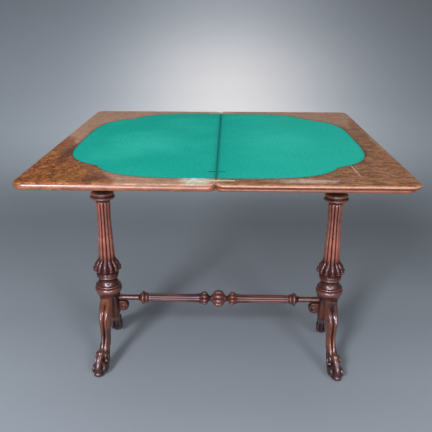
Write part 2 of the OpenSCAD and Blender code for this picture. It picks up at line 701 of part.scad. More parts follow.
// Stretcher arm, in stations of [distance, crown radius, depth between reeds]: from the ball's face,
// and back from the start of the plain end
inner_stations = [[0, 8, 0], [2, 9.5, 0], [4, 11.5, 0], [6.5, 11.5, 0], [8.5, 9, 0], [11, 8.2, 0], [14, 9.4, 0],
  [16, 12, 0], [18.5, 15, 0.6], [22, 19.5, 2.2], [27, 22.5, 3.2], [32, 22.5, 3.2], [37, 19.5, 2.6],
  [41, 15.5, 1.8], [46, 13.6, 1.5], [60, 13.6, 1.5]];
outer_stations = [[116, 13.8, 1.5], [46, 13.4, 1.5], [33, 13.4, 1.4], [27, 13, 0.4], [25, 15.5, 0], [22, 17, 0],
  [19, 16, 0], [16, 18, 0], [12, 21.5, 0], [8, 21, 0], [4, 15, 0], [0, 12, 0]];
ball_half = 16;
plain_end = 69;
arm_end = column_x - block_inner;
reeded_end = arm_end - plain_end - ball_half;
arm_stations = concat(inner_stations, [for (s = outer_stations) [reeded_end - s[0], s[1], s[2]]]);
module stretcher_arm(side) {
  color(walnut) translate([0, 0, stretcher_z]) mirror([side < 0 ? 1 : 0, 0, 0]) rotate([0, 90, 0]) {
    translate([0, 0, ball_half]) reeded(smooth(arm_stations, 1), stretcher_reeds);
    translate([0, 0, ball_half + reeded_end - join]) cylinder(r = stretcher_r, h = plain_end + join);
    translate([0, 0, arm_end - join]) cylinder(r = stretcher_tenon_r, h = stretcher_tenon + join);
    translate([0, 0, ball_half - ball_tenon]) cylinder(r = ball_tenon_r, h = ball_tenon + join);
  }
}

ball_tenon = 12;
ball_tenon_r = 5;
ball_rows = 8;
module stretcher_ball() {
  color(walnut) translate([0, 0, stretcher_z]) rotate([0, 90, 0]) difference() {
    reeded([for (i = [0 : ball_rows]) let (z = ball_half * (2 * i / ball_rows - 1),
      r = ball_r * sqrt(1 - pow(z / (ball_half + 1.5), 2)))
      [z, max(r, 10), r < 12 ? 0 : 5 * r / ball_r]], stretcher_reeds);
    for (s = [-1, 1]) translate([0, 0, s * ball_half]) translate([0, 0, -ball_tenon])
      cylinder(r = ball_tenon_r, h = 2 * ball_tenon);
  }
}

flap_board();
mirror([1, 0, 0]) cloth();  // flap_baize
mirror([1, 0, 0]) hinge_plate();  // hinge_plate_flap_front
mirror([1, 0, 0]) mirror([0, 1, 0]) hinge_plate();  // hinge_plate_flap_rear
mirror([1, 0, 0]) hinge_screws_right();  // flap_hinge_screws
hinge_link();  // hinge_link_front
mirror([0, 1, 0]) hinge_link();  // hinge_link_rear
hinge_pins();
leaf_board();
leaf_under_board();
cloth();  // leaf_baize
hinge_plate();  // hinge_plate_leaf_front
mirror([0, 1, 0]) hinge_plate();  // hinge_plate_leaf_rear
hinge_screws_right();  // leaf_hinge_screws
pivot_plate();
pivot_plate_screws();
pivot_stud();
pivot_washer();
pivot_nut();
pivot_bush_plate();
bush_plate_screws();
stop_pin();
frame_front_rail();
frame_rear_rail();
frame_end_rail_left();
frame_end_rail_right();
pivot_rail();
well_bottom_board();
corner_blocks();
bearer(-1);  // bearer_left
bearer(1);  // bearer_right
bearer_screws();
column_capital(-1);  // column_capital_left
column_capital(1);  // column_capital_right
column_shaft(-1);  // column_shaft_left
column_shaft(1);  // column_shaft_right
column_collar(-1);  // column_collar_left
column_collar(1);  // column_collar_right
base_block(-1);  // base_block_left
base_block(1);  // base_block_right
leg(-1, -1);  // leg_front_left
leg(-1, 1);  // leg_rear_left
leg(1, -1);  // leg_front_right
leg(1, 1);  // leg_rear_right
leg_dowels();
scroll_bracket(-1);  // scroll_bracket_left
scroll_bracket(1);  // scroll_bracket_right
stretcher_arm(-1);  // stretcher_arm_left
stretcher_arm(1);  // stretcher_arm_right
stretcher_ball();
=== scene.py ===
import json
import math

import bmesh
import bpy
import numpy as np
from bpy.props import FloatProperty, FloatVectorProperty, IntProperty, PointerProperty
from mathutils import Matrix, Vector

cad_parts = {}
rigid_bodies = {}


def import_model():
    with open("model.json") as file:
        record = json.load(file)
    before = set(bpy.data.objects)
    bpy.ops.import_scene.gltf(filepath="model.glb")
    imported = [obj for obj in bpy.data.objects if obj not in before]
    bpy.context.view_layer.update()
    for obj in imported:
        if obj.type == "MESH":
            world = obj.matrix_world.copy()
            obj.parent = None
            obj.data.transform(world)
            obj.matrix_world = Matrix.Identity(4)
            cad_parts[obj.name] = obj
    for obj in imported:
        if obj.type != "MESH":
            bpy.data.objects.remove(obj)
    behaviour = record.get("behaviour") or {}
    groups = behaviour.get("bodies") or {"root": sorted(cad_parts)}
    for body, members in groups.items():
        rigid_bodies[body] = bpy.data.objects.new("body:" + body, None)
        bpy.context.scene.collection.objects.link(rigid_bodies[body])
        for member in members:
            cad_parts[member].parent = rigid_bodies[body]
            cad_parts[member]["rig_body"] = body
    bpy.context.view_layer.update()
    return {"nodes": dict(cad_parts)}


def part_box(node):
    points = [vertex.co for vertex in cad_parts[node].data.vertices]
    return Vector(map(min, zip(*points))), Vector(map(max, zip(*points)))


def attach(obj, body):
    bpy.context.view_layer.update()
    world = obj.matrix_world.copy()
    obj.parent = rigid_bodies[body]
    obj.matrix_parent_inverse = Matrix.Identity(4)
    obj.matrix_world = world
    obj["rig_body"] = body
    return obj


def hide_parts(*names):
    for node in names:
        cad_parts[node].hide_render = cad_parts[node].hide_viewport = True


bl_info = {
    "name": "Fold-over card table",
    "version": (1, 0, 0),
    "blender": (4, 5, 0),
    "location": "3D View > Sidebar > Card table",
    "description": "Carved walnut card table with a baize-lined folding top",
    "category": "Object",
}

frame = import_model()
NODES = frame["nodes"]

MM = 0.001
FULL_TURN = 2 * math.pi
SIDES = {"left": -1, "right": 1}
ENDS = {"front": -1, "rear": 1}


def low(node):
    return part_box(node)[0]


def high(node):
    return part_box(node)[1]


# Levels and places read from the packed part, in metres
TOP = high("leaf_board").z
COLUMN_X = (low("column_collar_right").x + high("column_collar_right").x) / 2
BLOCK_TOP = high("base_block_right").z
BLOCK_UNDER = low("base_block_right").z
BLOCK_FACE = high("base_block_right").y
BLOCK_INNER = low("base_block_right").x
COLLAR_TOP = high("column_collar_right").z
CAPITAL_FOOT = low("column_capital_right").z
BEARER_UNDER = low("bearer_right").z
STRETCHER_Z = (low("stretcher_ball").z + high("stretcher_ball").z) / 2
BALL_HALF = high("stretcher_ball").x
FOOT_REACH = -low("leg_front_right").y

# How far the bowed outline of the cloth falls back from its ends and sides, in metres
END_BOW, SIDE_BOW = 0.073, 0.069


# Sizes and colours a user would change

def colour(name, description, default):
    return FloatVectorProperty(name=name, description=description, subtype="COLOR", size=3,
                               min=0.0, max=1.0, default=default)


def share(name, description, default):
    return FloatProperty(name=name, description=description, default=default, min=0.0, max=1.0,
                         subtype="FACTOR")


def length(name, description, default, least=0.0):
    return FloatProperty(name=name, description=description, default=default, min=least,
                         unit="LENGTH", subtype="DISTANCE", precision=5)


def power(name, description, default):
    return FloatProperty(name=name, description=description, default=default, min=0.0, unit="POWER")


def number(name, description, default, least, most):
    return IntProperty(name=name, description=description, default=default, min=least, max=most,
                       subtype="UNSIGNED")


class CardTableTop(bpy.types.PropertyGroup):
    """Finish of the folding top"""
    burr_dark: colour("Burr, dark", "Darkest figure of the burr veneer", (0.105, 0.026, 0.004))
    burr_mid: colour("Burr, middle", "Middle tone of the burr veneer", (0.27, 0.08, 0.011))
    burr_light: colour("Burr, light", "Palest figure of the burr veneer", (0.46, 0.185, 0.035))
    # Faded veneer, which also stands in for a painted reflection of the pale backdrop
    faded_with_reflection: colour("Faded veneer", "Veneer where light has bleached it", (0.5, 0.33, 0.235))
    edge: colour("Moulded edge", "Polished solid walnut of the edges", (0.235, 0.084, 0.038))
    baize: colour("Baize", "Colour of the cloth", (0.009, 0.375, 0.29))
    baize_rubbed: colour("Baize, rubbed", "Cloth where hands have rubbed it", (0.034, 0.50, 0.385))
    cloth_ripple: length("Cloth ripple", "Height of the slow ripples in the cloth", 0.00012)
    cloth_step: length("Cloth mesh step", "Spacing of the cloth's mesh along its edge", 0.005)
    brass: colour("Brass", "Brass of the hinges", (0.95, 0.93, 0.74))
    wear: share("Wear", "How worn the veneer and edges are", 0.6)


class CardTableStand(bpy.types.PropertyGroup):
    """Finish and carving of the stand"""
    carved_dark: colour("Carved walnut, dark", "Depth of the carving", (0.009, 0.004, 0.0035))
    carved_light: colour("Carved walnut, light", "Worn crests of the carving", (0.12, 0.042, 0.026))
    shaft_mid: colour("Shaft, middle", "Middle tone of the reeded shafts", (0.14, 0.03, 0.011))
    warm: colour("Warm patches", "Where the polish has worn to orange wood", (0.17, 0.05, 0.013))
    reeds: number("Reeds", "Reeds round a column", 12, 8, 16)
    lobes: number("Stretcher reeds", "Reeds round the stretcher", 8, 6, 12)
    points: number("Points per reed", "Mesh points across one reed", 16, 8, 24)
    carving_step: length("Carving mesh step", "Mesh size of the carved legs", 0.00135)
    ridge: length("Leg ridges", "Height of the two ridges down a leg", 0.0032)


class CardTableStage(bpy.types.PropertyGroup):
    """Floor, lamps and camera"""
    floor: colour("Floor", "Colour of the floor and backdrop", (0.262, 0.3, 0.336))
    sky: share("Room light", "Strength of the even light of the room", 0.13)
    key: power("Key lamp", "Power of the soft lamp at the front left", 310.0)
    second: power("Second lamp", "Power of the soft lamp at the front right", 110.0)
    front: power("Low lamp", "Power of the low soft lamp by the camera", 190.0)
    fill: power("Overhead lamp", "Power of the overhead soft lamp", 30.0)
    back: power("Backdrop lamp", "Power of the lamp that lights the backdrop", 11.0)
    # The pool is painted light on the backdrop
    pool_width: length("Pool width", "Half width of the pale pool on the backdrop", 1.05, 0.1)
    lens: FloatProperty(name="Lens", description="Focal length of the camera", default=48.0127,
                        min=1.0, unit="CAMERA")


# Node building

class Wire:
    """The output of a node. Sums and products of wires become maths nodes."""

    def __init__(self, socket):
        self.socket, self.tree = socket, socket.id_data

    def __add__(self, other):
        return maths("ADD", self, other)

    def __sub__(self, other):
        return maths("SUBTRACT", self, other)

    def __rsub__(self, other):
        return maths("SUBTRACT", other, self)

    def __mul__(self, other):
        return maths("MULTIPLY", self, other)

    def __truediv__(self, other):
        return maths("DIVIDE", self, other)

    def __abs__(self):
        return maths("ABSOLUTE", self)


def wires(sockets):
    return {socket.name: Wire(socket) for socket in sockets if socket.name}


def feed(sockets, values):
    """Links wires to inputs, or sets the inputs' constants."""
    for key, value in values.items():
        socket = sockets[key]
        if isinstance(value, Wire):
            value.tree.links.new(value.socket, socket)
        elif socket.type == "RGBA":
            socket.default_value = (*value[:3], 1)
        else:
            socket.default_value = value


def tree_of(values):
    return next(value.tree for value in values.values() if isinstance(value, Wire))


def add(tree, kind, inputs, **settings):
    made = tree.nodes.new(kind)
    for key, value in settings.items():
        setattr(made, key, value)
    feed(made.inputs, inputs)
    return made


def put(kind, inputs, output=0, tree=None, **settings):
    """Adds a node to the tree of the wires that feed it and gives one of its outputs."""
    return Wire(add(tree or tree_of(inputs), kind, inputs, **settings).outputs[output])


def use(name, **inputs):
    """Adds one of the shared groups and gives its outputs by name."""
    group = bpy.data.node_groups[name]
    return wires(add(tree_of(inputs), "ShaderNodeGroup", inputs, node_tree=group).outputs)


def maths(operation, *values, clamp=False):
    return put("ShaderNodeMath", dict(enumerate(values)), operation=operation, use_clamp=clamp)


def largest(first, *more):
    for value in more:
        first = maths("MAXIMUM", first, value)
    return first


def vector(operation, *values):
    return put("ShaderNodeVectorMath", dict(enumerate(values)),
               "Value" if operation in ("LENGTH", "DOT_PRODUCT") else 0, operation=operation)


def scaled(at, scale):
    return put("ShaderNodeVectorMath", {0: at, "Scale": scale}, operation="SCALE")


def remap(value, start, end, low_to=0, high_to=1, smooth=True):
    return put("ShaderNodeMapRange", {"Value": value, "From Min": start, "From Max": end,
               "To Min": low_to, "To Max": high_to},
               interpolation_type="SMOOTHSTEP" if smooth else "LINEAR")


def blend(factor, a, b, mode="MIX"):
    return put("ShaderNodeMix", {0: factor, 6: a, 7: b}, 2, data_type="RGBA", blend_type=mode)


def layers(base, *coats):
    """Lays one colour after another over the base, each by its own share."""
    for amount, tone in coats:
        base = blend(amount, base, tone)
    return base


def noise(at, scale, detail=3.0, rough=0.5, twist=0, output="Fac"):
    return put("ShaderNodeTexNoise", {"Vector": at, "Scale": scale, "Detail": detail,
               "Roughness": rough, "Distortion": twist}, output)


def cells(at, scale):
    return put("ShaderNodeTexVoronoi", {"Vector": at, "Scale": scale}, "Distance")


def split(at):
    return [Wire(socket) for socket in add(at.tree, "ShaderNodeSeparateXYZ", {0: at}).outputs]


def stretch(at, scale, turn=0):
    """Coordinates drawn out along the axes, and turned about Z."""
    return put("ShaderNodeMapping", {"Vector": at, "Scale": scale, "Rotation": (0, 0, turn)})


def new_tree(name, kind, inputs, outputs):
    """A node group: the wires given to it by name, and its output sockets."""
    tree = bpy.data.node_groups.new(name, kind)
    for way, sockets in (("INPUT", inputs), ("OUTPUT", outputs)):
        for label, socket_kind, *default in sockets:
            socket = tree.interface.new_socket(label, in_out=way, socket_type="NodeSocket" + socket_kind)
            if default:
                socket.default_value = default[0]
    return wires(tree.nodes.new("NodeGroupInput").outputs), tree.nodes.new("NodeGroupOutput").inputs


def shader_group(name, outputs, **inputs):
    given = [(label, "Vector" if isinstance(value, tuple) else "Float", value)
             for label, value in inputs.items()]
    return new_tree(name, "ShaderNodeTree", [("Vector", "Vector"), *given],
                    [(label, "Float") for label in outputs])


def shape_tree(name, *inputs):
    whole = ("Geometry", "Geometry")
    return new_tree(name, "GeometryNodeTree", [whole, *inputs, ("Material", "Material")], [whole])


def build_groups():
    """Shader groups that several finishes share."""
    # Swirling burr figure with small dark eyes
    given, out = shader_group("Burr figure", ("Swirl", "Tone", "Fibre", "Eyes"), Scale=1)
    at = scaled(given["Vector"], given["Scale"])
    drift = vector("SUBTRACT", noise(at, 9.0, output="Color"), (0.5, 0.5, 0.5))
    bent = vector("ADD", at, vector("MULTIPLY", drift, (0.07, 0.07, 0.07)))
    feed(out, {"Swirl": noise(bent, 24.0, 7.0, 0.62, 2.4),
               "Tone": noise(bent, 6.0, 2.0, 0.5, 0.8),
               "Fibre": noise(stretch(bent, (1, 2.6, 1)), 190.0, 5.0, 0.7),
               "Eyes": remap(cells(bent, 62.0), 0.1, 0.3, 1, 0) * remap(noise(bent, 13.0, 2.0), 0.5, 0.62)})

    # Straight grain: the vector is already drawn out along the fibres
    given, out = shader_group("Plank grain", ("Bands", "Pores", "Fibre"), Scale=1)
    at = scaled(given["Vector"], given["Scale"])
    feed(out, {"Bands": noise(at, 34.0, 5.0, 0.58, 0.7),
               "Pores": remap(noise(at, 620.0, 2.0, 0.6), 0.6, 0.74),
               "Fibre": noise(at, 260.0, 3.0, 0.6)})

    # One straight scratch between two places on a level face
    given, out = shader_group("Scratch line", ["Mask"], Start=(0, 0, 0), Run=(0.1, 0, 0), Width=0.001)
    at, run = given["Vector"], given["Run"]
    flat = vector("MULTIPLY", vector("SUBTRACT", at, given["Start"]), (1, 1, 0))
    along = maths("DIVIDE", vector("DOT_PRODUCT", flat, run), vector("DOT_PRODUCT", run, run), clamp=True)
    away = vector("LENGTH", vector("SUBTRACT", flat, scaled(run, along)))
    reach = given["Width"] * remap(noise(at, 160.0), 0.3, 0.6, 0.5, 1.3)
    feed(out, {"Mask": remap(away / reach, 0.5, 1, 1, 0)})

    # Round soft patch, broken at its rim
    given, out = shader_group("Worn patch", ["Mask"], Centre=(0, 0, 0), Reach=(0.03, 0.03, 1), Break=0.6)
    at = given["Vector"]
    off = vector("DIVIDE", vector("SUBTRACT", at, given["Centre"]), given["Reach"])
    away = vector("LENGTH", vector("MULTIPLY", off, (1, 1, 0)))
    rim = (noise(at, 75.0, 6.0, 0.7) - 0.5) * given["Break"]
    flaky = remap(noise(stretch(at, (0.4, 1, 1)), 230.0, 4.0, 0.7), 0.38, 0.58, 0.35, 1)
    feed(out, {"Mask": remap(away + rim * 2.0, 0.3, 1.15, 1, 0) * flaky})

    # How near the edge of the cloth is: 1 at the edge, growing outwards
    given, out = shader_group("Cloth edge", ["Ratio"])
    x, y, _ = split(given["Vector"])

    def bow(reach_x, reach_y):
        parts = [maths("POWER", abs(value / reach), 4.0)
                 for value, reach in ((x, reach_x), (y, reach_y))]
        return maths("POWER", parts[0] + parts[1], 0.25)
    side, end = high("leaf_baize").x, high("leaf_baize").y
    feed(out, {"Ratio": maths("MINIMUM", bow(side, end - END_BOW), bow(side - SIDE_BOW, end))})

    # Fine curved scuffs of long use
    given, out = shader_group("Fine scuffs", ["Mask"], Amount=0.5)
    at = given["Vector"]
    marks = []
    for turn, scale in ((0.5, 5.0), (2.1, 6.5), (1.35, 9.0)):
        lines = noise(stretch(at, (1, 0.12, 1), turn), scale * 6.0, 1, 0.4, 0.4)
        thin = remap(abs(lines - 0.5), 0, 0.0035, 1, 0)
        marks.append(thin * remap(noise(at, scale * 2.0, 2.0), 0.52, 0.62))
    feed(out, {"Mask": largest(*marks) * given["Amount"]})

    # Rubbed crests of the carving, and hollows darkened by dirt and by painted shade
    given, out = shader_group("Rub and grime", ("Rub", "Grime"), Relief=0)
    relief = given["Relief"] + (noise(given["Vector"], 60.0, 5.0, 0.65) - 0.5) * 0.5
    feed(out, {"Rub": remap(relief, 0.2, 1), "Grime": remap(relief, -0.06, -0.6)})

    # Felted nap of the baize
    given, out = shader_group("Felt nap", ("Nap", "Blotch", "Fuzz"))
    at = given["Vector"]
    fibres = noise(stretch(at, (1, 0.35, 1)), 1500.0, 3.0, 0.7, 1.5)
    cross = noise(stretch(at, (0.35, 1, 1)), 1300.0, 3.0, 0.7, 1.5)
    feed(out, {"Nap": (fibres + cross) * 0.5,
               "Blotch": noise(at, 5.5, 3.0, 0.55, 0.3),
               "Fuzz": noise(at, 150.0, 5.0, 0.8)})


def new_material(name):
    """A bare material, its shader and the wire of the piece's own coordinates."""
    made = bpy.data.materials.new(name)
    made.use_nodes = True
    tree = made.node_tree
    tree.nodes.clear()
    shader = tree.nodes.new("ShaderNodeBsdfPrincipled")
    add(tree, "ShaderNodeOutputMaterial", {"Surface": Wire(shader.outputs[0])})
    return made, shader, put("ShaderNodeTexCoord", {}, "Object", tree)


def finish_shader(shader, height, depth, inputs):
    bump = put("ShaderNodeBump", {"Strength": 1, "Distance": depth, "Height": height})
    feed(shader.inputs, {"Normal": bump, **inputs})


def top_material(name, tint, is_flap):
    """Burr veneer on the level faces, solid polished walnut on the moulded edges."""
    look = bpy.context.scene.card_table_top
    made, shader, at = new_material(name)
    x, y, z = split(at)
    up = split(put("ShaderNodeTexCoord", {}, "Normal", at.tree))[2]
    level = abs(up)
    face = remap(level, 0.62, 0.84)
    upper = remap(up, 0, 0.3)
    figure = use("Burr figure", Vector=stretch(at, (1, 0.75, 1), 0.5), Scale=2.0)
    swirl = layers(
        look.burr_dark,
        (remap(figure["Swirl"], 0.4, 0.5), look.burr_mid),
        (remap(figure["Swirl"], 0.52, 0.6), look.burr_light),
        (figure["Eyes"] * 0.75, look.burr_dark),
        (remap(figure["Fibre"], 0.36, 0.58, 0.6, 0), look.burr_dark))
    swirl = blend(remap(figure["Tone"], 0.35, 0.65, 0, 0.45), swirl, tint, "MULTIPLY")
    # Veneer bleached by light, with a painted reflection of the pale backdrop laid over it, behind a line
    # that runs from the front to the left edge
    wander = (noise(at, 16.0, 4.0, 0.6) - 0.5) * 0.07
    past = vector("DOT_PRODUCT", at, (0.9029, 0.4297, 0)) + wander
    right = remap(x, -0.005, 0.03)
    behind = y - x * 2.2 + wander * 2.0
    bleach_and_reflection_right = remap(behind, -0.7, -0.62, 0.15, 0.75) * remap(y, 0, 0.15)
    bleach_and_reflection = blend(right, remap(past, -0.402, -0.384), bleach_and_reflection_right)
    streaks = noise(stretch(at, (0.45, 1.6, 1)), 60.0, 6.0, 0.7, 0.6)
    soft = blend(remap(streaks, 0.34, 0.66, 0, 0.55), look.faded_with_reflection, swirl)
    brown = blend(remap(streaks, 0.4, 0.6), (0.12, 0.06, 0.03), (0.42, 0.225, 0.125))
    flecks = noise(stretch(at, (1, 0.7, 1), 0.35), 130.0, 6.0, 0.72, 0.8)
    clean = layers(
        swirl,
        (right * 0.6, brown),
        (remap(past, -0.46, -0.4) * (1 - right) * 0.45, (0.33, 0.14, 0.07)),
        # Bleached veneer and painted reflection, on the upper faces only
        (upper * bleach_and_reflection * 0.8, soft),
        (remap(flecks, 0.48, 0.37, 0, 0.5), (0.08, 0.025, 0.005)),
        (remap(flecks, 0.54, 0.65, 0, 0.4), (0.56, 0.27, 0.09)))
    clean = blend(0.3, clean, noise(stretch(at, (1, 1.5, 1)), 75.0, 4.0, output="Color"), "OVERLAY")
    # Dark rim against the cloth: old polish, and painted shade along the edge of the cloth's recess
    rim = use("Cloth edge", Vector=at)["Ratio"] + wander * 0.2
    marked = layers(clean, (remap(rim, 1, 1.04, 0.25, 0), (0.07, 0.03, 0.014)),
                    (remap(rim, 1.003, 1.012, 0.5, 0), (0.02, 0.012, 0.007)))
    # Patches that the photograph shows: place, reach, tone and strength
    for place_x, place_y, reach_x, reach_y, tone, amount in (
            (-0.272, -0.405, 0.035, 0.045, (0.07, 0.026, 0.01), 0.75),
            (-0.392, -0.175, 0.02, 0.1, (0.05, 0.018, 0.012), 0.85),
            (0.424, 0.105, 0.018, 0.15, (0.08, 0.04, 0.022), 0.3),
            (-0.045, -0.427, 0.042, 0.03, (0.72, 0.8, 0.7), 0.97),
            (0.205, -0.424, 0.085, 0.02, (0.66, 0.5, 0.42), 0.75),
            (-0.434, -0.187, 0.02, 0.03, (0.5, 0.3, 0.13), 0.4),
            (0.446, -0.05, 0.012, 0.2, (0.42, 0.29, 0.2), 0.45)):
        patch = use("Worn patch", Vector=at, Centre=(place_x, place_y, 0), Reach=(reach_x, reach_y, 1),
                    Break=0.8)
        marked = blend(patch["Mask"] * amount, marked, tone)
    # Scratches: start, run, width and strength
    dull = 0
    for start_x, start_y, run_x, run_y, width, amount in (
            (0.325, -0.289, 0.003, -0.088, 0.0014, 0.65),
            (0.372, -0.33, 0.04, -0.05, 0.0009, 0.4),
            (0.29, -0.36, -0.05, -0.035, 0.0009, 0.35),
            (-0.36, -0.39, 0.07, 0.012, 0.0009, 0.3),
            (0.405, 0.16, 0.012, 0.13, 0.001, 0.35)):
        line = use("Scratch line", Vector=at, Start=(start_x, start_y, 0), Run=(run_x, run_y, 0),
                   Width=width)["Mask"]
        marked = blend(line * amount, marked, (0.68, 0.52, 0.38))
        dull = largest(dull, line)
    scuffs = use("Fine scuffs", Vector=at, Amount=look.wear)["Mask"]
    marked = blend(scuffs * 0.4, marked, (0.5, 0.36, 0.25))
    # The outer side of the flap carries none of these marks
    veneer = blend(upper, clean, marked)
    # Solid edge with straight grain: worn pale chips on its crest, a painted pale sheen on its upper face
    # and painted shade under its lip
    grain = use("Plank grain", Vector=stretch(at, (1, 0.12, 1)), Scale=1.4)
    chips = remap(level, 0.3, 0.6) * remap(noise(at, 70.0, 6.0, 0.7), 0.5, 0.66)
    # The face turned down under the nose gets painted shade, and no coat
    lip_shade = remap(up, *((-0.6, -0.9) if is_flap else (-0.05, -0.45)))
    solid = layers(
        look.edge,
        (remap(grain["Bands"], 0.35, 0.65, 0, 0.7), (0.12, 0.036, 0.016)),
        (grain["Pores"] * 0.5, (0.05, 0.016, 0.008)),
        (chips * look.wear, (0.36, 0.2, 0.135)),
        # Painted pale sheen where the edge faces up
        (remap(up, 0.3, 0.7, 0, 0.55 if is_flap else 0.2), (0.17, 0.105, 0.085)),
        (lip_shade * 0.85, (0.05, 0.014, 0.008)))
    # Painted highlight along the crest of the leaf's thinner nose
    if not is_flap:
        solid = blend(remap(up, 0, 0.3, 0, 0.6), solid, (0.42, 0.23, 0.155))
    painted = blend(face, solid, veneer)
    # The cloth turns over the upper corner of the meeting edges
    crease = (remap(abs(x), 0.0035, 0.0045, 1, 0) * remap(abs(y), 0.398, 0.401, 1, 0)
              * remap(z, TOP - 0.006, TOP - 0.004))
    painted = blend(crease, painted, (0.007, 0.25, 0.2))
    if not is_flap:
        plain_wood = blend(remap(grain["Bands"], 0.35, 0.65), (0.075, 0.035, 0.02), (0.16, 0.078, 0.043))
        painted = blend(remap(z, TOP - 0.007, TOP - 0.009) * face, painted, plain_wood)
    finish_shader(shader, figure["Fibre"] * 0.5 - largest(dull, grain["Pores"]) * 0.6, 0.00012, {
        "Base Color": painted,
        "Roughness": (remap(noise(at, 22.0, 5.0, 0.6), 0.3, 0.7, 0.3, 0.42)
                      + largest(dull, scuffs, crease * 2.4) * 0.25),
        "Coat Weight": (1 - largest(face, crease, lip_shade)) * 0.75,
        "Coat Roughness": 0.2,
        "Specular IOR Level": remap(crease, 0, 1, 0.25, 0.02)})
    return made


def walnut_material(name, along, mid, light=None, dark=None, gloss=0.36, glow=0.4, coat=0.2,
                    shine=0.75, darker_low=None):
    """Walnut with straight grain along one axis; crests rubbed, hollows dark where relief is known.

    low_polish keeps old dark polish low down: the heights it fades between, its strength and tone.
    """
    look = bpy.context.scene.card_table_stand
    dark, light = dark or look.carved_dark, light or look.carved_light
    made, shader, at = new_material(name)
    drawn_out = [0.09 if axis == along else 1 for axis in "XYZ"]
    grain = use("Plank grain", Vector=stretch(at, drawn_out), Scale=1)
    relief = put("ShaderNodeAttribute", {}, "Fac", at.tree, attribute_name="relief")
    marks = use("Rub and grime", Relief=relief, Vector=at)
    dirt_and_shade = marks["Grime"]
    base = layers(
        mid,
        (remap(grain["Bands"], 0.3, 0.7, 0, 0.7), [c * 0.5 + d * 0.3 for c, d in zip(mid, dark)]),
        (remap(noise(at, 13.0, 4.0, 0.65), 0.42, 0.62) * glow, look.warm),
        (marks["Rub"] * 0.65, light),
        (grain["Pores"] * 0.6, dark),
        (dirt_and_shade * 0.95, dark))
    # The hollows also lose shine and coat, as painted shade
    shine, coat = remap(dirt_and_shade, 0, 0.8, shine, 0.08), remap(dirt_and_shade, 0, 0.6, coat, 0)
    if darker_low:
        start, end, amount, shade = darker_low
        darkening = remap(split(at)[2], start, end, amount, 0)
        base = blend(darkening, base, shade)
        shine, coat = shine * (1 - darkening * 0.5), coat * (1 - darkening)
    finish_shader(shader, grain["Fibre"] * 0.5 - grain["Pores"] * 0.5, 0.00015, {
        "Base Color": base,
        "Roughness": remap(noise(at, 45.0, 4.0), 0.3, 0.7, gloss - 0.06, gloss + 0.08) + dirt_and_shade * 0.3,
        "Specular IOR Level": shine, "Specular Tint": (1, 0.84, 0.97),
        "Coat Weight": coat, "Coat Roughness": 0.13})
    return made


def baize_material():
    look = bpy.context.scene.card_table_top
    made, shader, at = new_material("Baize")
    x, y, _ = split(at)
    away = abs(x)
    felt = use("Felt nap", Vector=at)
    rubbed = remap(abs(away - 0.17), 0, 0.17, 1, 0) * remap(abs(y + 0.02), 0, 0.24, 1, 0)
    # A thin dark mark across the cloth over the front of the hinge
    hinge_mark = use("Scratch line", Vector=at, Start=(-0.018, -0.3505, 0), Run=(0.036, 0, 0), Width=0.0032)
    base = layers(
        look.baize,
        (remap(rubbed * 0.35 + felt["Blotch"], 0.42, 0.95), look.baize_rubbed),
        (remap(x, -0.02, 0.2, 0, 0.45), look.baize_rubbed),
        (remap(felt["Nap"], 0.35, 0.65, 0.4, 0), (0.006, 0.22, 0.17)),
        (remap(felt["Fuzz"], 0.36, 0.52, 0.5, 0), (0.005, 0.24, 0.185)),
        (remap(felt["Fuzz"], 0.52, 0.68, 0, 0.3), (0.06, 0.58, 0.47)),
        # Painted shade where the cloth turns down at the hinge, in a wider band beside the hinge and
        # against the wood at the cloth's edge; then the dark mark over the hinge
        (remap(away - noise(at, 40.0, 4.0, 0.6) * 0.004, 0.002, 0.0055, 0.3, 0),
         (0.006, 0.085, 0.075)),
        (remap(away, 0, 0.022, 0.42, 0), (0.012, 0.24, 0.19)),
        (remap(use("Cloth edge", Vector=at)["Ratio"], 0.975, 1, 0, 0.35), (0.01, 0.17, 0.14)),
        (hinge_mark["Mask"] * 0.95, (0.003, 0.03, 0.028)))
    finish_shader(shader, felt["Nap"] + felt["Fuzz"] * 0.6, 0.0004, {
        "Base Color": base, "Roughness": 0.95, "Specular IOR Level": 0.03,
        "Sheen Weight": 0.012, "Sheen Roughness": 0.5, "Sheen Tint": (0.4, 0.95, 0.85)})
    return made


def metal_material(name, bright, tarnish, gloss, speckle):
    made, shader, at = new_material(name)
    cloud = noise(at, 90.0, 6.0, 0.65)
    pits = remap(noise(at, 700.0, 3.0, 0.6), 0.58, 0.72)
    brushed = noise(stretch(at, (0.08, 1, 1)), 900.0, 2.0)
    finish_shader(shader, brushed * 0.4 - pits, 0.00006, {
        "Base Color": layers(bright, (remap(cloud, 0.42, 0.66, 0, 0.85), tarnish),
                             (pits * speckle, [c * 0.3 for c in tarnish])),
        "Roughness": remap(cloud, 0.4, 0.7, gloss, gloss + 0.3) + brushed * 0.1,
        "Metallic": 1})
    return made


def pine_material():
    made, shader, at = new_material("Pine")
    grain = use("Plank grain", Vector=stretch(at, (0.1, 1, 1)), Scale=0.7)
    base = layers(
        (0.46, 0.27, 0.12),
        (remap(grain["Bands"], 0.35, 0.65), (0.31, 0.16, 0.065)),
        (remap(cells(stretch(at, (0.6, 1, 1)), 6.0), 0.03, 0.09, 0.7, 0), (0.1, 0.04, 0.016)),
        (remap(noise(at, 7.0, 4.0), 0.45, 0.7, 0, 0.5), (0.17, 0.1, 0.05)))
    finish_shader(shader, grain["Fibre"], 0.0002, {"Base Color": base, "Roughness": 0.75})
    return made


def dress(material, *nodes):
    for node in nodes:
        slots = NODES[node].data.materials
        slots.clear()
        slots.append(material)


# Mesh building

def read(items, key, width, kind=float):
    """One property of every item of a mesh, in rows."""
    out = np.empty(len(items) * width, kind)
    items.foreach_get(key, out)
    return out.reshape(-1, width)


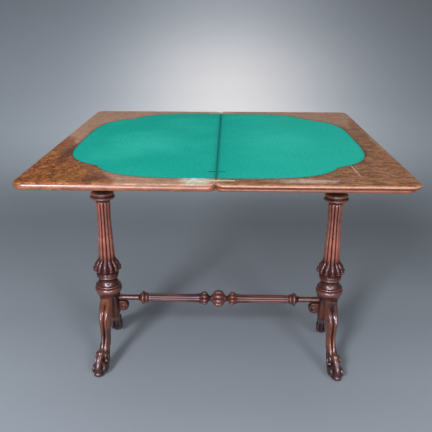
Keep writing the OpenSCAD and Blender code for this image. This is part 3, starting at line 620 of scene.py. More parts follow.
def read_points(mesh):
    return read(mesh.vertices, "co", 3)


def write_points(mesh, co):
    mesh.vertices.foreach_set("co", np.ascontiguousarray(co, np.float32).ravel())
    mesh.update()


def new_object(name, data):
    made = bpy.data.objects.new(name, data)
    bpy.context.scene.collection.objects.link(made)
    return made


def new_piece(name, mesh, material):
    mesh.materials.clear()
    mesh.materials.append(material)
    return new_object(name, mesh)


def mesh_from(name, points, faces):
    mesh = bpy.data.meshes.new(name)
    mesh.from_pydata([tuple(p) for p in points], [], [tuple(f) for f in faces])
    mesh.validate()
    mesh.shade_smooth()
    return mesh


def crisp(mesh, degrees):
    """Smooth shading with crisp edges where the surface turns by more than the angle."""
    mesh.shade_smooth()
    mesh.set_sharp_from_angle(angle=math.radians(degrees))


def turn_outward(mesh):
    """Turns a closed mesh the right way round."""
    mesh.calc_loop_triangles()
    corners = read(mesh.loop_triangles, "vertices", 3, np.int32)
    a, b, c = read_points(mesh)[corners].transpose(1, 0, 2)
    if np.einsum("ij,ij->i", a, np.cross(b, c)).sum() < 0:
        mesh.flip_normals()
    return mesh


def add_relief(mesh, reach, passes):
    """Stores how far each point stands proud of (1) or lies under (-1) the form round it."""
    co = read_points(mesh)
    a, b = read(mesh.edges, "vertices", 2, np.int32).T
    count = np.bincount(a, minlength=len(co)) + np.bincount(b, minlength=len(co))
    normals = read(mesh.vertex_normals, "vector", 3)
    even, proud = co.copy(), np.zeros(len(co))
    for step in range(4 * passes):
        sums = [np.bincount(a, even[b, k], len(co)) + np.bincount(b, even[a, k], len(co))
                for k in range(3)]
        even = np.stack(sums, 1) / count[:, None]
        if step in (passes - 1, 4 * passes - 1):
            share_here = 1 if step < passes else 0.3
            proud += share_here * ((co - even) * normals).sum(1) / reach
    store = mesh.attributes.get("relief") or mesh.attributes.new("relief", "FLOAT", "POINT")
    store.data.foreach_set("value", np.clip(proud, -1, 1).astype(np.float32))


def place(source, name, matrix, material):
    """A copy of a mesh set in its place, faces still outwards."""
    mesh = source.copy()
    mesh.name = name
    matrix = np.array(matrix)
    write_points(mesh, read_points(mesh) @ matrix[:3, :3].T + matrix[:3, 3])
    if np.linalg.det(matrix[:3, :3]) < 0:
        mesh.flip_normals()
    return new_piece(name, mesh, material)


def stand_in(piece, node):
    """The piece rides where the node does and is shown in its place."""
    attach(piece, NODES[node]["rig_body"])
    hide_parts(node)


def move(x, y=0, z=0):
    return Matrix.Translation((x, y, z))


def mirror(x, y=1):
    return Matrix.Diagonal((x, y, 1, 1))


def smooth_rows(rows, steps):
    """Smooth curve through the rows of a table."""
    rows = np.array(rows, float)
    padded = np.vstack([rows[:1], rows, rows[-1:]])
    out = []
    for i in range(len(rows) - 1):
        a, b, c, d = padded[i:i + 4]
        for t in np.arange(steps) / steps:
            out.append(0.5 * (2 * b + (c - a) * t + (2 * a - 5 * b + 4 * c - d) * t ** 2
                              + (3 * b - a - 3 * c + d) * t ** 3))
    return np.array(out + [rows[-1]])


def eased_copy(node, name, ease, material):
    """A copy of a square-edged CAD piece with its sharp edges eased."""
    work = bmesh.new()
    work.from_mesh(NODES[node].data)
    bmesh.ops.remove_doubles(work, verts=work.verts, dist=1e-6)
    bmesh.ops.dissolve_limit(work, angle_limit=0.01, verts=work.verts, edges=work.edges)
    sharp = [e for e in work.edges if len(e.link_faces) == 2 and e.calc_face_angle(0) > 0.7]
    bmesh.ops.bevel(work, geom=sharp, offset=ease, offset_type="OFFSET", segments=3, profile=0.6,
                    affect="EDGES", clamp_overlap=True)
    mesh = bpy.data.meshes.new(name)
    work.to_mesh(mesh)
    work.free()
    crisp(mesh, 35)
    return new_piece(name, mesh, material)


def round_angles(count):
    return np.arange(count) * FULL_TURN / count


def skin(rings):
    """Points and faces of a closed skin over rings of equal count."""
    rows, count = rings.shape[:2]
    faces = []
    for j in range(rows - 1):
        for i in range(count):
            n = (i + 1) % count
            faces.append((j * count + i, j * count + n, (j + 1) * count + n, (j + 1) * count + i))
    faces += [tuple(range(count - 1, -1, -1)), tuple(range((rows - 1) * count, rows * count))]
    return rings.reshape(-1, 3), faces


def tube(points, radii):
    """Closed tube along points with a radius at each."""
    points, radii = np.array(points, float), np.array(radii, float)
    run = np.gradient(points, axis=0)
    run /= np.linalg.norm(run, axis=1)[:, None]
    side = np.cross(run, (1, 0, 0) if np.abs(run[:, 0]).max() < 0.9 else (0, 0, 1))
    side /= np.linalg.norm(side, axis=1)[:, None]
    turn = round_angles(14)[None, :, None]
    ring = np.cos(turn) * side[:, None] + np.sin(turn) * np.cross(run, side)[:, None]
    return skin(points[:, None] + radii[:, None, None] * ring)


def knob(centre, radii):
    """Closed ellipsoid."""
    tilt, turn = np.linspace(0.06, math.pi - 0.06, 14), round_angles(20)
    rings = np.stack([np.outer(np.sin(tilt), np.cos(turn)), np.outer(np.sin(tilt), np.sin(turn)),
                      np.outer(-np.cos(tilt), np.ones(20))], 2)
    return skin(rings * np.array(radii) + np.array(centre))


def volute(centre, x, outer, inner, turns, start, thick, end_thick, lean):
    """Spiral tube in the plane across x, in (x, outward, up)."""
    t = np.linspace(0, 1, int(44 * turns))
    reach = outer * (inner / outer) ** t
    angle = start + t * turns * FULL_TURN
    points = np.stack([x + lean * t, centre[0] + reach * np.cos(angle),
                       centre[1] + reach * np.sin(angle)], 1)
    return tube(points, thick + (end_thick - thick) * t)


def baked(piece, name):
    """The plain mesh of a piece with its modifiers applied; the piece goes."""
    worked_out = piece.evaluated_get(bpy.context.evaluated_depsgraph_get())
    made = bpy.data.meshes.new_from_object(worked_out)
    bpy.data.objects.remove(piece)
    if not made.polygons:
        raise RuntimeError(f"{name} came out empty")
    made.name = name
    return made


def carve_together(name, parts, step, blur):
    """One even skin over overlapping closed parts, in metres from millimetres."""
    points, faces, base = [], [], 0
    for part_points, part_faces in parts:
        points.append(part_points)
        faces += [tuple(i + base for i in f) for f in part_faces]
        base += len(part_points)
    work = new_object(name, mesh_from(name, np.vstack(points) * MM, faces))
    melt = work.modifiers.new("Melt", "REMESH")
    melt.mode, melt.voxel_size, melt.use_smooth_shade = "VOXEL", step, True
    soften = work.modifiers.new("Soften", "SMOOTH")
    soften.factor, soften.iterations = 0.5, blur
    made = baked(work, name)
    made.shade_smooth()
    return turn_outward(made)


# Geometry node trees

def close_shape_tree(shape, given, out):
    whole = put("GeometryNodeRealizeInstances", {"Geometry": shape})
    feed(out, {0: put("GeometryNodeSetMaterial", {"Geometry": whole, "Material": given["Material"]})})


def reeding_tree():
    """A turning: a line of stations, each with a core radius, a rise of the reeds and their width."""
    given, out = shape_tree("Reeded turning", ("Reeds", "Int"), ("Points per reed", "Int"))
    count = given["Reeds"] * given["Points per reed"]
    line = put("GeometryNodeMeshToCurve", {"Mesh": given["Geometry"]})
    ring = put("GeometryNodeCurvePrimitiveCircle", {"Resolution": count, "Radius": 1})
    bar = put("GeometryNodeCurveToMesh", {"Curve": line, "Profile Curve": ring, "Fill Caps": True})
    x, y, z = split(put("GeometryNodeInputPosition", {}, tree=bar.tree))
    step = maths("DIVIDE", FULL_TURN, count)
    angle = maths("ROUND", maths("ARCTAN2", y, x) / step) * step
    reed = angle * given["Reeds"] / FULL_TURN
    across = (reed - maths("ROUND", reed)) * 2.0
    core, rise, width = (put("GeometryNodeInputNamedAttribute", {"Name": label}, "Attribute", bar.tree,
                             data_type="FLOAT") for label in ("core", "rise", "width"))
    off = across / width
    round_top = maths("SQRT", largest(1 - off * off, 0))
    radius = core + rise * round_top
    spot = put("ShaderNodeCombineXYZ", {"X": radius * maths("COSINE", angle),
               "Y": radius * maths("SINE", angle), "Z": z})
    close_shape_tree(put("GeometryNodeSetPosition", {"Geometry": bar, "Position": spot}), given, out)


def screw_tree():
    """Countersunk screws with slotted heads, one on each point, each stopped at its own angle."""
    given, out = shape_tree("Slotted screws", ("Head radius", "Float"), ("Shank radius", "Float"),
                            ("Length", "Float"), ("Slot", "Float"), ("Tip", "Vector"))
    wide, thin, slot = given["Head radius"], given["Shank radius"], given["Slot"]
    drop = wide - thin
    shank_length = given["Length"] - drop

    def lifted(shape, z):
        return put("GeometryNodeTransform", {"Geometry": shape,
                   "Translation": put("ShaderNodeCombineXYZ", {"Z": z})})
    head = put("GeometryNodeMeshCone", {"Vertices": 28, "Radius Top": wide,
               "Radius Bottom": thin, "Depth": drop})
    size = put("ShaderNodeCombineXYZ", {"X": wide * 3.0, "Y": slot, "Z": slot * 2.0})
    head = put("GeometryNodeMeshBoolean", {"Mesh 1": lifted(head, drop * -1),
               "Mesh 2": put("GeometryNodeMeshCube", {"Size": size})}, operation="DIFFERENCE")
    shank = put("GeometryNodeMeshCylinder", {"Vertices": 20, "Radius": thin, "Depth": shank_length})
    both = add(drop.tree, "GeometryNodeJoinGeometry", {0: head})
    feed(both.inputs, {0: lifted(shank, shank_length * -0.5 - drop)})
    spin = put("FunctionNodeRandomValue", {"Min": (0, 0, 0), "Max": (0, 0, 6.283), "Seed": 7},
               tree=drop.tree, data_type="FLOAT_VECTOR")
    turned = put("GeometryNodeInstanceOnPoints", {"Points": given["Geometry"],
                 "Instance": Wire(both.outputs[0]), "Rotation": vector("ADD", spin, given["Tip"])})
    close_shape_tree(turned, given, out)


def run_tree(name, mesh, tree, values):
    """Runs a tree once on a mesh and keeps the plain result."""
    piece = bpy.data.objects.new(name, mesh)
    modifier = piece.modifiers.new("Shape", "NODES")
    modifier.node_group = bpy.data.node_groups[tree]
    sockets = modifier.node_group.interface.items_tree
    names = {socket.name: socket.identifier for socket in sockets if socket.in_out == "INPUT"}
    for label, value in values.items():
        modifier[names[label]] = value
    bpy.context.scene.collection.objects.link(piece)
    return baked(piece, name)


def turning(name, stations, height, count, material, passes=26, reach=0.0016):
    """Mesh of a turned and reeded piece standing on the origin. Stations: height, core, rise, width."""
    rows = np.array(stations, float)
    rows[:, 0] *= height / rows[-1, 0] / MM
    rows[:, 1:3] = np.maximum(rows[:, 1:3], 0)
    line = bpy.data.meshes.new(name)
    line.from_pydata([(0, 0, z * MM) for z in rows[:, 0]],
                     [(i, i + 1) for i in range(len(rows) - 1)], [])
    columns = {"core": rows[:, 1] * MM, "rise": rows[:, 2] * MM, "width": rows[:, 3]}
    for label, values in columns.items():
        line.attributes.new(label, "FLOAT", "POINT").data.foreach_set("value", values.astype(np.float32))
    points = bpy.context.scene.card_table_stand.points
    mesh = run_tree(name, line, "Reeded turning", {
        "Reeds": count, "Points per reed": points, "Material": material})
    crisp(turn_outward(mesh), 60)
    add_relief(mesh, reach, passes)
    for label in columns:
        if label in mesh.attributes:
            mesh.attributes.remove(mesh.attributes[label])
    return mesh


# Stand

# Turned profiles in millimetres: height and radius
COLLAR = [[0, 36], [2, 37], [6, 38], [8, 39], [11, 40.8], [15, 42.3], [19, 42.6], [22, 42.2],
          [25, 40.4], [26.6, 38.4], [27.4, 36.6], [28.2, 36.8], [29.4, 39], [31.5, 39.9], [33.6, 39],
          [35, 36.6], [36, 34.2], [37.4, 33.6], [41, 32.2], [44, 30.2], [48, 28.8], [53, 28.6],
          [56, 29.6], [58, 31.6], [59.5, 33.2], [61.5, 33.7], [63, 32.8], [64.2, 31.6], [65, 31.2]]
CAPITAL = [[0, 22.2], [2, 23], [4, 25.5], [6, 30], [8, 34.6], [10, 37], [12, 37.9], [14, 37.6],
           [16, 36], [17.5, 34.2], [18.6, 33], [19.6, 32.8], [21, 33.8], [23.5, 34.9], [26, 34.8],
           [28.5, 33.2], [30.5, 30.8], [32, 28.6], [34.5, 26.4], [38, 24.8], [45, 23.4], [53, 24],
           [60, 26.2], [67, 31.4], [73, 37.4], [75, 38.6], [75.8, 41], [83, 41]]
# The knop of the shaft in millimetres: height, core radius, rise of the reeds, width of a reed
KNOP = [[0, 31.4, 0, 0.8], [1, 32.8, 0, 0.8], [3, 34.6, 0, 0.8], [5.5, 35.2, 0, 0.8],
        [8, 34.2, 0, 0.74], [9.6, 32.2, 0.2, 0.7], [12, 31.2, 0.8, 0.66], [15, 32, 2.6, 0.68],
        [18, 33.2, 6.4, 0.76], [20.5, 34.2, 9.2, 0.82], [23, 34.8, 10.4, 0.86], [25.5, 35, 10, 0.82],
        [27.6, 34.6, 7.4, 0.64], [30, 33.6, 7, 0.62], [34, 32.4, 7.8, 0.7], [38, 30.8, 7.5, 0.78],
        [42, 28.8, 7.1, 0.84], [47, 26.4, 6.1, 0.88], [52, 24.2, 5, 0.95], [56, 23.1, 4, 1]]
# The shaft over it: share of its height, core radius, rise of the reeds
SHAFT = [[0.06, 21.9, 4.5], [0.2, 20.6, 4.3], [0.33, 20, 4.3], [0.42, 19, 4.1], [0.52, 18.2, 4],
         [0.62, 17.5, 4], [0.73, 17.2, 4], [0.84, 17.6, 4], [0.91, 18.2, 4], [0.945, 18.8, 3.8],
         [0.965, 19.4, 3.2], [0.98, 20.4, 1.8], [0.99, 20.9, 0], [1, 22, 0]]
# One arm of the stretcher from the ball, and from the block inwards: distance, core radius,
# rise of the reeds
ARM_INNER = [[0, 8, 0], [1.2, 9.6, 0], [2.5, 11.2, 0], [4.5, 12, 0], [6.5, 11.4, 0], [8, 9.4, 0],
             [10, 8.2, 0], [12.5, 8.6, 0], [15, 11, 0], [17, 12.6, 0.6], [19.5, 14.4, 2.2],
             [23, 16.8, 3.6], [27, 18.4, 4.4], [31, 18.2, 4.3], [35, 16.6, 3.8], [39, 14.8, 3.2],
             [43, 13.6, 2.8], [48, 12.7, 2.5], [60, 11.9, 2.3], [78, 11.4, 2.2]]
ARM_OUTER = [[185, 11.5, 2.3], [115, 11.3, 2.1], [105, 11.3, 2.1], [100, 11.4, 1.8], [98, 11.6, 1.1],
             [96.5, 12, 0], [95.5, 13.4, 0], [94, 15.2, 0], [91.5, 16.6, 0], [89, 16.2, 0],
             [87.6, 15.2, 0], [86.4, 15.8, 0], [84, 18.6, 0], [81.5, 20.9, 0], [79, 21.6, 0],
             [76.5, 20.6, 0], [74, 16.8, 0], [72.4, 14.2, 0], [71, 12.6, 0], [69, 11, 0], [66, 8.9, 0],
             [61, 8.7, 0], [39, 8.8, 0], [13, 8.8, 0], [7, 9.3, 0], [3, 9.4, 0], [0, 9, 0]]

# The carved ball reaches a little into the carving of each arm
BALL_RADIUS, BALL_OVERLAP = 28.4, 5


def plain(rows):
    return smooth_rows([[z, r, 0, 1] for z, r in rows], 4)


def carve_columns():
    look = bpy.context.scene.card_table_stand
    shaft = (CAPITAL_FOOT - COLLAR_TOP) / MM
    foot = KNOP[-1][0]
    stations = smooth_rows(KNOP + [[foot + s * (shaft - foot), c, r, 0.92] for s, c, r in SHAFT], 5)
    wood = walnut_material("Carved walnut, turned", "Z", (0.034, 0.011, 0.0085), glow=0.25, coat=0.5)
    # Darker, with less shine and coat, over the knop at the foot of the shaft
    polish = (COLLAR_TOP + 0.045, COLLAR_TOP + 0.085, 0.88, (0.026, 0.009, 0.009))
    reeded = walnut_material("Carved walnut, reeded", "Z", look.shaft_mid, (0.36, 0.12, 0.065),
                             gloss=0.27, coat=0.85, darker_low=polish)
    capital = walnut_material("Carved walnut, capitals", "Z", (0.045, 0.014, 0.009), (0.22, 0.08, 0.05),
                              gloss=0.33, glow=0.3)
    parts = [(part, turning(part, rows, end - start, look.reeds, material), start, material)
             for part, rows, start, end, material in (
                 ("collar", plain(COLLAR), BLOCK_TOP, COLLAR_TOP, wood),
                 ("shaft", stations, COLLAR_TOP, CAPITAL_FOOT, reeded),
                 ("capital", plain(CAPITAL), CAPITAL_FOOT, BEARER_UNDER, capital))]
    for side, sign in SIDES.items():
        for part, mesh, start, material in parts:
            spot = move(sign * COLUMN_X, 0, start) @ mirror(sign)
            piece = place(mesh, f"{side}_{part}", spot, material)
            stand_in(piece, f"column_{part}_{side}")


def carve_stretcher():
    look = bpy.context.scene.card_table_stand
    wood = walnut_material("Carved walnut, lengthwise", "X", (0.03, 0.009, 0.007), (0.12, 0.04, 0.026),
                           gloss=0.33, glow=0.22, coat=0.15, shine=0.6)
    reach = BLOCK_INNER - BALL_HALF
    rows = ARM_INNER + [[reach / MM - z, c, r] for z, c, r in ARM_OUTER]
    rows = smooth_rows([[*row, 0.98] for row in rows], 5)
    arm = turning("arm", rows, reach, look.lobes, wood, 22, 0.0013)
    half = BALL_HALF / MM + BALL_OVERLAP
    rows = [[0, 8, 0, 0.97]]
    for angle in np.linspace(0, math.pi, 41)[1:-1]:
        z = -half * math.cos(angle)
        r = BALL_RADIUS * math.sqrt(max(1 - (z / (half + 1.2)) ** 2, 0))
        rise = min(r * 0.24, 5.6)
        rows.append([z + half, max(r - rise, 6.5), rise if r > 9 else 0, 0.97])
    rows.append([2 * half, 8, 0, 0.97])
    ball = turning("ball", rows, 2 * half * MM, look.lobes, wood, 22, 0.0013)
    lie = Matrix(((0, 0, 1, 0), (0, 1, 0, 0), (-1, 0, 0, 0), (0, 0, 0, 1)))
    centre = move(0, 0, STRETCHER_Z)
    for side, sign in SIDES.items():
        piece = place(arm, f"{side}_stretcher_arm", centre @ mirror(sign) @ move(BALL_HALF) @ lie, wood)
        stand_in(piece, f"stretcher_arm_{side}")
    stand_in(place(ball, "carved_ball", centre @ move(-half * MM) @ lie, wood), "stretcher_ball")


# Leg stations: height as a share of the block's underside (then of the block), inner reach,
# outer reach, half width
LEG_LOW = [[0, 0.78, 0.93, 0.2], [0.03, 0.75, 0.96, 0.27], [0.09, 0.72, 0.97, 0.31],
           [0.16, 0.69, 0.975, 0.33], [0.23, 0.66, 0.94, 0.33], [0.3, 0.63, 0.87, 0.32],
           [0.38, 0.57, 0.79, 0.31], [0.46, 0.5, 0.715, 0.33], [0.54, 0.43, 0.65, 0.345],
           [0.62, 0.39, 0.6, 0.335], [0.72, 0.37, 0.57, 0.325], [0.82, 0.35, 0.56, 0.34],
           [0.92, 0.31, 0.565, 0.37], [1, 0.24, 0.575, 0.4]]
LEG_KNEE = [[0.03, 0.15, 0.576, 0.41], [0.2, 0.15, 0.58, 0.43], [0.4, 0.15, 0.565, 0.44],
            [0.6, 0.15, 0.52, 0.44], [0.8, 0.15, 0.43, 0.43], [0.93, 0.15, 0.34, 0.42],
            [1, 0.15, 0.3, 0.42]]
FOOT_WIDTH = 46
FOOT_SWEEP = 18


def bump_at(value, centre, reach):
    return np.exp(-((value - centre) / reach) ** 2)


def leg_mesh():
    look = bpy.context.scene.card_table_stand
    under, top, reach = BLOCK_UNDER / MM, BLOCK_TOP / MM, FOOT_REACH / MM
    rows = [[base + s * tall, i * reach, o * reach, w * FOOT_WIDTH]
            for stations, base, tall in ((LEG_LOW, 0, under), (LEG_KNEE, under, top - under))
            for s, i, o, w in stations]
    z, inner, outer, half = smooth_rows(rows, 8).T[:, :, None]
    cosine, sine = np.cos(round_angles(120))[None], np.sin(round_angles(120))[None]

    def square(v):
        return np.sign(v) * np.abs(v) ** 0.74
    u = (inner + outer) / 2 + (outer - inner) / 2 * square(cosine)
    x = half * square(sine)
    # Two ridges down the front with a groove between them, and a hollow each side
    front = np.clip((cosine - 0.05) / 0.5, 0, 1)
    front = front * front * (3 - 2 * front)
    height = np.interp(z, [64, 88, 120, 178, 198, 206], [0, 0.85, 1, 1, 0.7, 0]) * look.ridge / MM
    spread = np.interp(z, [60, 90, 130, 165, 185, 200], [4.6, 5.8, 7.4, 8.6, 11.5, 12.5])
    u = u + front * height * (bump_at(np.abs(x), spread, 3.6) - 0.9 * bump_at(x, 0, 2.6))
    u = u - front * 4.2 * bump_at(z, 203, 9.5) * bump_at(x, 0, 8.5)
    x = x * (1 - 0.09 * np.abs(sine) * np.interp(z, [70, 95, 175, 200], [0, 1, 1, 0])
             * bump_at(cosine, 0.4, 0.13))
    x = x * (1 - 0.05 * bump_at(cosine, -0.25, 0.35) * np.interp(z, [80, 110, 170, 195], [0, 1, 1, 0]))
    u = np.maximum(u, BLOCK_FACE / MM)
    # Broad rib down the toe, then the round toe itself
    rib = smooth_rows([[0, 118, 75], [0, 128, 69], [0, 139, 58], [0, 147.5, 45], [0, 152, 34],
                       [0, 153, 26]], 6)
    rib_points, rib_faces = tube(rib, np.linspace(6.6, 6.0, len(rib)))
    rib_points[:, 0] *= 1.5
    parts = [skin(np.stack([x, u, np.broadcast_to(z, u.shape)], 2)), (rib_points, rib_faces),
             knob((0, 127, 68.5), (11, 9, 9)), knob((0, 148.5, 9.8), (14, 12, 9.6)),
             knob((0, 136, 28), (18.5, 15, 24))]
    for s in (-1, 1):
        # Leaf that runs up from the scroll along the inner side
        leaf = smooth_rows([[s * 12, 112, 16], [s * 12.5, 103, 32], [s * 12, 92, 52], [s * 10, 80, 74],
                            [s * 9, 68, 100]], 6)
        parts += [volute((136, 26), s * 15.5, 21, 5, 1.65, 1.9, 4.6, 3.0, s * 3.0),
                  knob((s * 18.5, 136, 26), (3.6, 4.4, 4.4)),
                  volute((116, 58), s * 14, 11.5, 3.4, 1.45, -0.5, 3.5, 2.4, s * 3.2),
                  knob((s * 16.5, 116, 58), (3, 3.2, 3.2)),
                  tube(leaf, np.linspace(4.6, 2.4, len(leaf))),
                  # Small scroll under the knee, against the block
                  volute((60, 140), s * 13.5, 13, 4, 1.4, 2.6, 3.6, 2.4, s * 2.4)]
    mesh = carve_together("leg", parts, look.carving_step, 3)
    co = read_points(mesh)
    past = np.maximum(co[:, 1] - BLOCK_FACE, 0) / (FOOT_REACH - BLOCK_FACE)
    co[:, 0] += FOOT_SWEEP * MM * past ** 2
    co[:, 1] = np.maximum(co[:, 1], BLOCK_FACE)
    co[:, 2] = np.clip(co[:, 2], 0, BLOCK_TOP)
    write_points(mesh, co)
    add_relief(mesh, 0.0013, 20)
    return mesh


def carve_legs():
    # Darker, with less shine and coat, towards the feet
    wood = walnut_material("Carved walnut, legs", "Z", (0.026, 0.009, 0.008), (0.1, 0.034, 0.018),
                           gloss=0.32, glow=0.75, coat=0.6,
                           darker_low=(0.05, 0.1, 0.6, (0.016, 0.009, 0.009)))
    mesh = leg_mesh()
    for side, sign in SIDES.items():
        for end, way in ENDS.items():
            piece = place(mesh, f"{end}_{side}_leg", move(sign * COLUMN_X) @ mirror(sign, way), wood)
            stand_in(piece, f"leg_{end}_{side}")


def bracket_mesh():
    """Carved scroll under the stretcher: a rolled end with upright reeds, leaving the block at x = 0."""
    roof, bottom = high("scroll_bracket_right").z / MM, low("scroll_bracket_right").z / MM
    half = high("scroll_bracket_right").y / MM
    roll = 15.0
    centre = bottom + roll
    outline = [(0, roof), (roll * 1.1, roof), (roll * 1.55, roof - 4), (roll * 1.72, roof - 9)]
    outline += [(roll + roll * 1.02 * math.cos(a), centre + roll * math.sin(a))
                for a in np.linspace(0.42, -math.pi / 2, 16)]
    outline += [(roll * 0.45, bottom + 0.6), (0, bottom + 5)]
    line = smooth_rows(outline, 3)
    across = np.linspace(-1, 1, 65)
    reed = np.sqrt(np.maximum(1 - ((across * 2.5 + 0.5) % 1 * 2 - 1) ** 2, 0))
    middle = np.array([roll * 0.6, centre])
    run = np.gradient(line, axis=0)
    out = np.stack([-run[:, 1], run[:, 0]], 1)
    out /= np.linalg.norm(out, axis=1)[:, None] + 1e-9
    out *= np.sign((out * (line - middle)).sum(1))[:, None]
    grow = np.interp(np.arange(len(line)), [0, 8, 16, len(line) - 8, len(line) - 1], [0, 0.6, 1, 0.8, 0])
    rings = []
    for a, b in zip(across, reed):
        spot = middle + (line - middle) * (1 - 0.06 * a ** 8) + out * (grow * (b - 0.6) * 2.0)[:, None]
        rings.append(np.stack([spot[:, 0], np.full(len(line), a * (half - 0.6)), spot[:, 1]], 1))
    parts = [skin(np.array(rings))]
    t = np.linspace(0, 1, 60)
    radius = 12.5 * (3.0 / 12.5) ** t
    angle = 0.6 - t * 1.5 * FULL_TURN
    for s in (-1, 1):
        spiral = np.stack([roll + radius * np.cos(angle), np.full(60, s * (half - 1.6)),
                           centre + radius * np.sin(angle)], 1)
        parts += [tube(spiral, np.linspace(2.3, 1.6, 60)),
                  knob((roll, s * (half - 1.4), centre), (3.2, 2.6, 3.2))]
    mesh = carve_together("bracket", parts, 0.0009, 2)
    co = read_points(mesh)
    co[:, 0] = np.maximum(co[:, 0], 0)
    write_points(mesh, co)
    add_relief(mesh, 0.0009, 14)
    return mesh


def build_blocks():
    wood = walnut_material("Carved walnut, blocks", "Z", (0.015, 0.005, 0.004), (0.05, 0.016, 0.009),
                           gloss=0.4, glow=0.3, coat=0.05, shine=0.4)
    for side in SIDES:
        stand_in(eased_copy(f"base_block_{side}", f"{side}_block", 0.0016, wood), f"base_block_{side}")
    mesh = bracket_mesh()
    for side, sign in SIDES.items():
        piece = place(mesh, f"{side}_bracket", move(sign * BLOCK_INNER) @ mirror(-sign), wood)
        stand_in(piece, f"scroll_bracket_{side}")
    dress(bpy.data.materials["Pine"], "leg_dowels")


# Top, box and metal

def build_top():
    dress(top_material("Burr walnut, flap", (1, 0.72, 0.5), True), "flap_board")
    dress(top_material("Burr walnut, leaf", (0.8, 0.66, 0.58), False), "leaf_board")
    plain_walnut = walnut_material("Walnut, under board", "Y", (0.2, 0.066, 0.026), (0.3, 0.11, 0.045),
                                   (0.04, 0.016, 0.01), glow=0.2, coat=0.1, shine=0.4)
    dress(plain_walnut, "leaf_under_board")


def cloth_mesh(node, sign):
    """Sheet of cloth on the outline of its recess, turned down a little at the hinge; and its area."""
    look = bpy.context.scene.card_table_top
    co = read_points(NODES[node].data)
    floor_z, face_z = co[:, 2].min(), co[:, 2].max()
    rim = np.unique(np.round(co[co[:, 2] > face_z - 1e-5][:, :2], 6), axis=0)
    centre = np.array([sign * 0.16, 0])
    rim = rim[np.argsort(np.arctan2(*(rim - centre).T[::-1]))]
    line = []
    for a, b in zip(rim, np.roll(rim, -1, axis=0)):
        pieces = max(1, int(math.ceil(np.linalg.norm(b - a) / look.cloth_step)))
        line += [a + (b - a) * k / pieces for k in range(pieces)]
    line = np.array(line)
    depth = np.linalg.norm(line - centre, axis=1).min()
    hinge = np.abs(line[:, 0]).min()
    layers_out = []
    for share_out in np.concatenate([np.linspace(0.03, 0.94, 34), [0.965, 0.982, 0.993, 1]]):
        x, y = (centre + (line - centre) * share_out).T
        ripple = (np.sin(x * 23 + 1.3 * np.sin(y * 11)) * np.sin(y * 17 + 2.1 * np.sin(x * 9))
                  + 0.5 * np.sin(x * 61 + y * 37))
        gap = depth * (1 - share_out)
        dip = 0.00016 * max(0, 1 - gap / 0.003) ** 2
        turn_down = 0.0004 * np.clip(1 - (np.abs(x) - hinge) / 0.004, 0, 1) ** 2
        height = face_z - 0.00002 + look.cloth_ripple * ripple * np.clip(gap / 0.03, 0, 1) - dip - turn_down
        layers_out.append(np.stack([x, y, height], 1))
    count = len(line)
    upper = np.vstack([[[centre[0], centre[1], face_z]]] + layers_out)
    lower = upper.copy()
    lower[:, 2] = floor_z
    base = len(upper)
    last = base - count
    faces = []
    for k in range(count):
        n = (k + 1) % count
        faces += [(0, 1 + k, 1 + n), (base, base + 1 + n, base + 1 + k)]
        for a in range(1, last, count):
            b = a + count
            faces += [(a + k, b + k, b + n, a + n),
                      (base + a + k, base + a + n, base + b + n, base + b + k)]
        faces.append((last + k, base + last + k, base + last + n, last + n))
    mesh = mesh_from(node + "_cloth", np.vstack([upper, lower]), faces)
    mesh.set_sharp_from_angle(angle=math.radians(50))
    x, y = line.T
    area = abs((x * np.roll(y, -1) - np.roll(x, -1) * y).sum()) / 2
    return turn_outward(mesh), area


def lay_baize():
    material = baize_material()
    for node, sign, board in (("flap_baize", -1, "flap_board"), ("leaf_baize", 1, "leaf_board")):
        mesh, area = cloth_mesh(node, sign)
        piece = new_piece(node.replace("baize", "cloth"), mesh, material)
        stand_in(piece, node)


def screw_places(node, reach):
    """Middle of each screw of a node, whose points all lie within reach of each other."""
    screws = []
    for spot in read_points(NODES[node].data)[:, :2]:
        near = [screw for screw in screws if math.dist(spot, screw[0]) < reach]
        if near:
            near[0].append(spot)
        else:
            screws.append([spot])
    return [(np.min(screw, axis=0) + np.max(screw, axis=0)) / 2 for screw in screws]


def drive_screws(node, name, shank, material, head_up):
    lowest, highest = low(node).z, high(node).z
    mesh = bpy.data.meshes.new(name)
    level = highest if head_up else lowest
    mesh.from_pydata([(x, y, level) for x, y in screw_places(node, 5 * shank)], [], [])
    made = run_tree(name, mesh, "Slotted screws", {
        "Head radius": 2 * shank, "Shank radius": shank, "Length": highest - lowest,
        "Slot": shank * 0.42, "Tip": (0 if head_up else math.pi, 0, 0), "Material": material})
    crisp(made, 30)
    stand_in(new_piece(name, made, material), node)


def build_hinges():
    brass = metal_material("Brass", bpy.context.scene.card_table_top.brass, (0.7, 0.7, 0.54), 0.5, 0.25)
    dress(brass, "hinge_pins")
    for end in ENDS:
        dress(brass, f"hinge_plate_flap_{end}", f"hinge_plate_leaf_{end}", f"hinge_link_{end}")
    for leaf in ("flap", "leaf"):
        drive_screws(f"{leaf}_hinge_screws", f"{leaf}_brass_screws", 0.0012, brass, True)


def build_swivel():
    iron = metal_material("Dark iron", (0.2, 0.19, 0.185), (0.1, 0.055, 0.035), 0.42, 0.6)
    dress(iron, "pivot_plate", "pivot_stud", "pivot_washer", "pivot_nut", "pivot_bush_plate")
    drive_screws("pivot_plate_screws", "leaf_plate_screws", 0.002, iron, False)
    drive_screws("bush_plate_screws", "rail_plate_screws", 0.002, iron, True)
    drive_screws("bearer_screws", "bearer_iron_screws", 0.0025, iron, False)
    dress(bpy.data.materials["Walnut, rails"], "stop_pin")


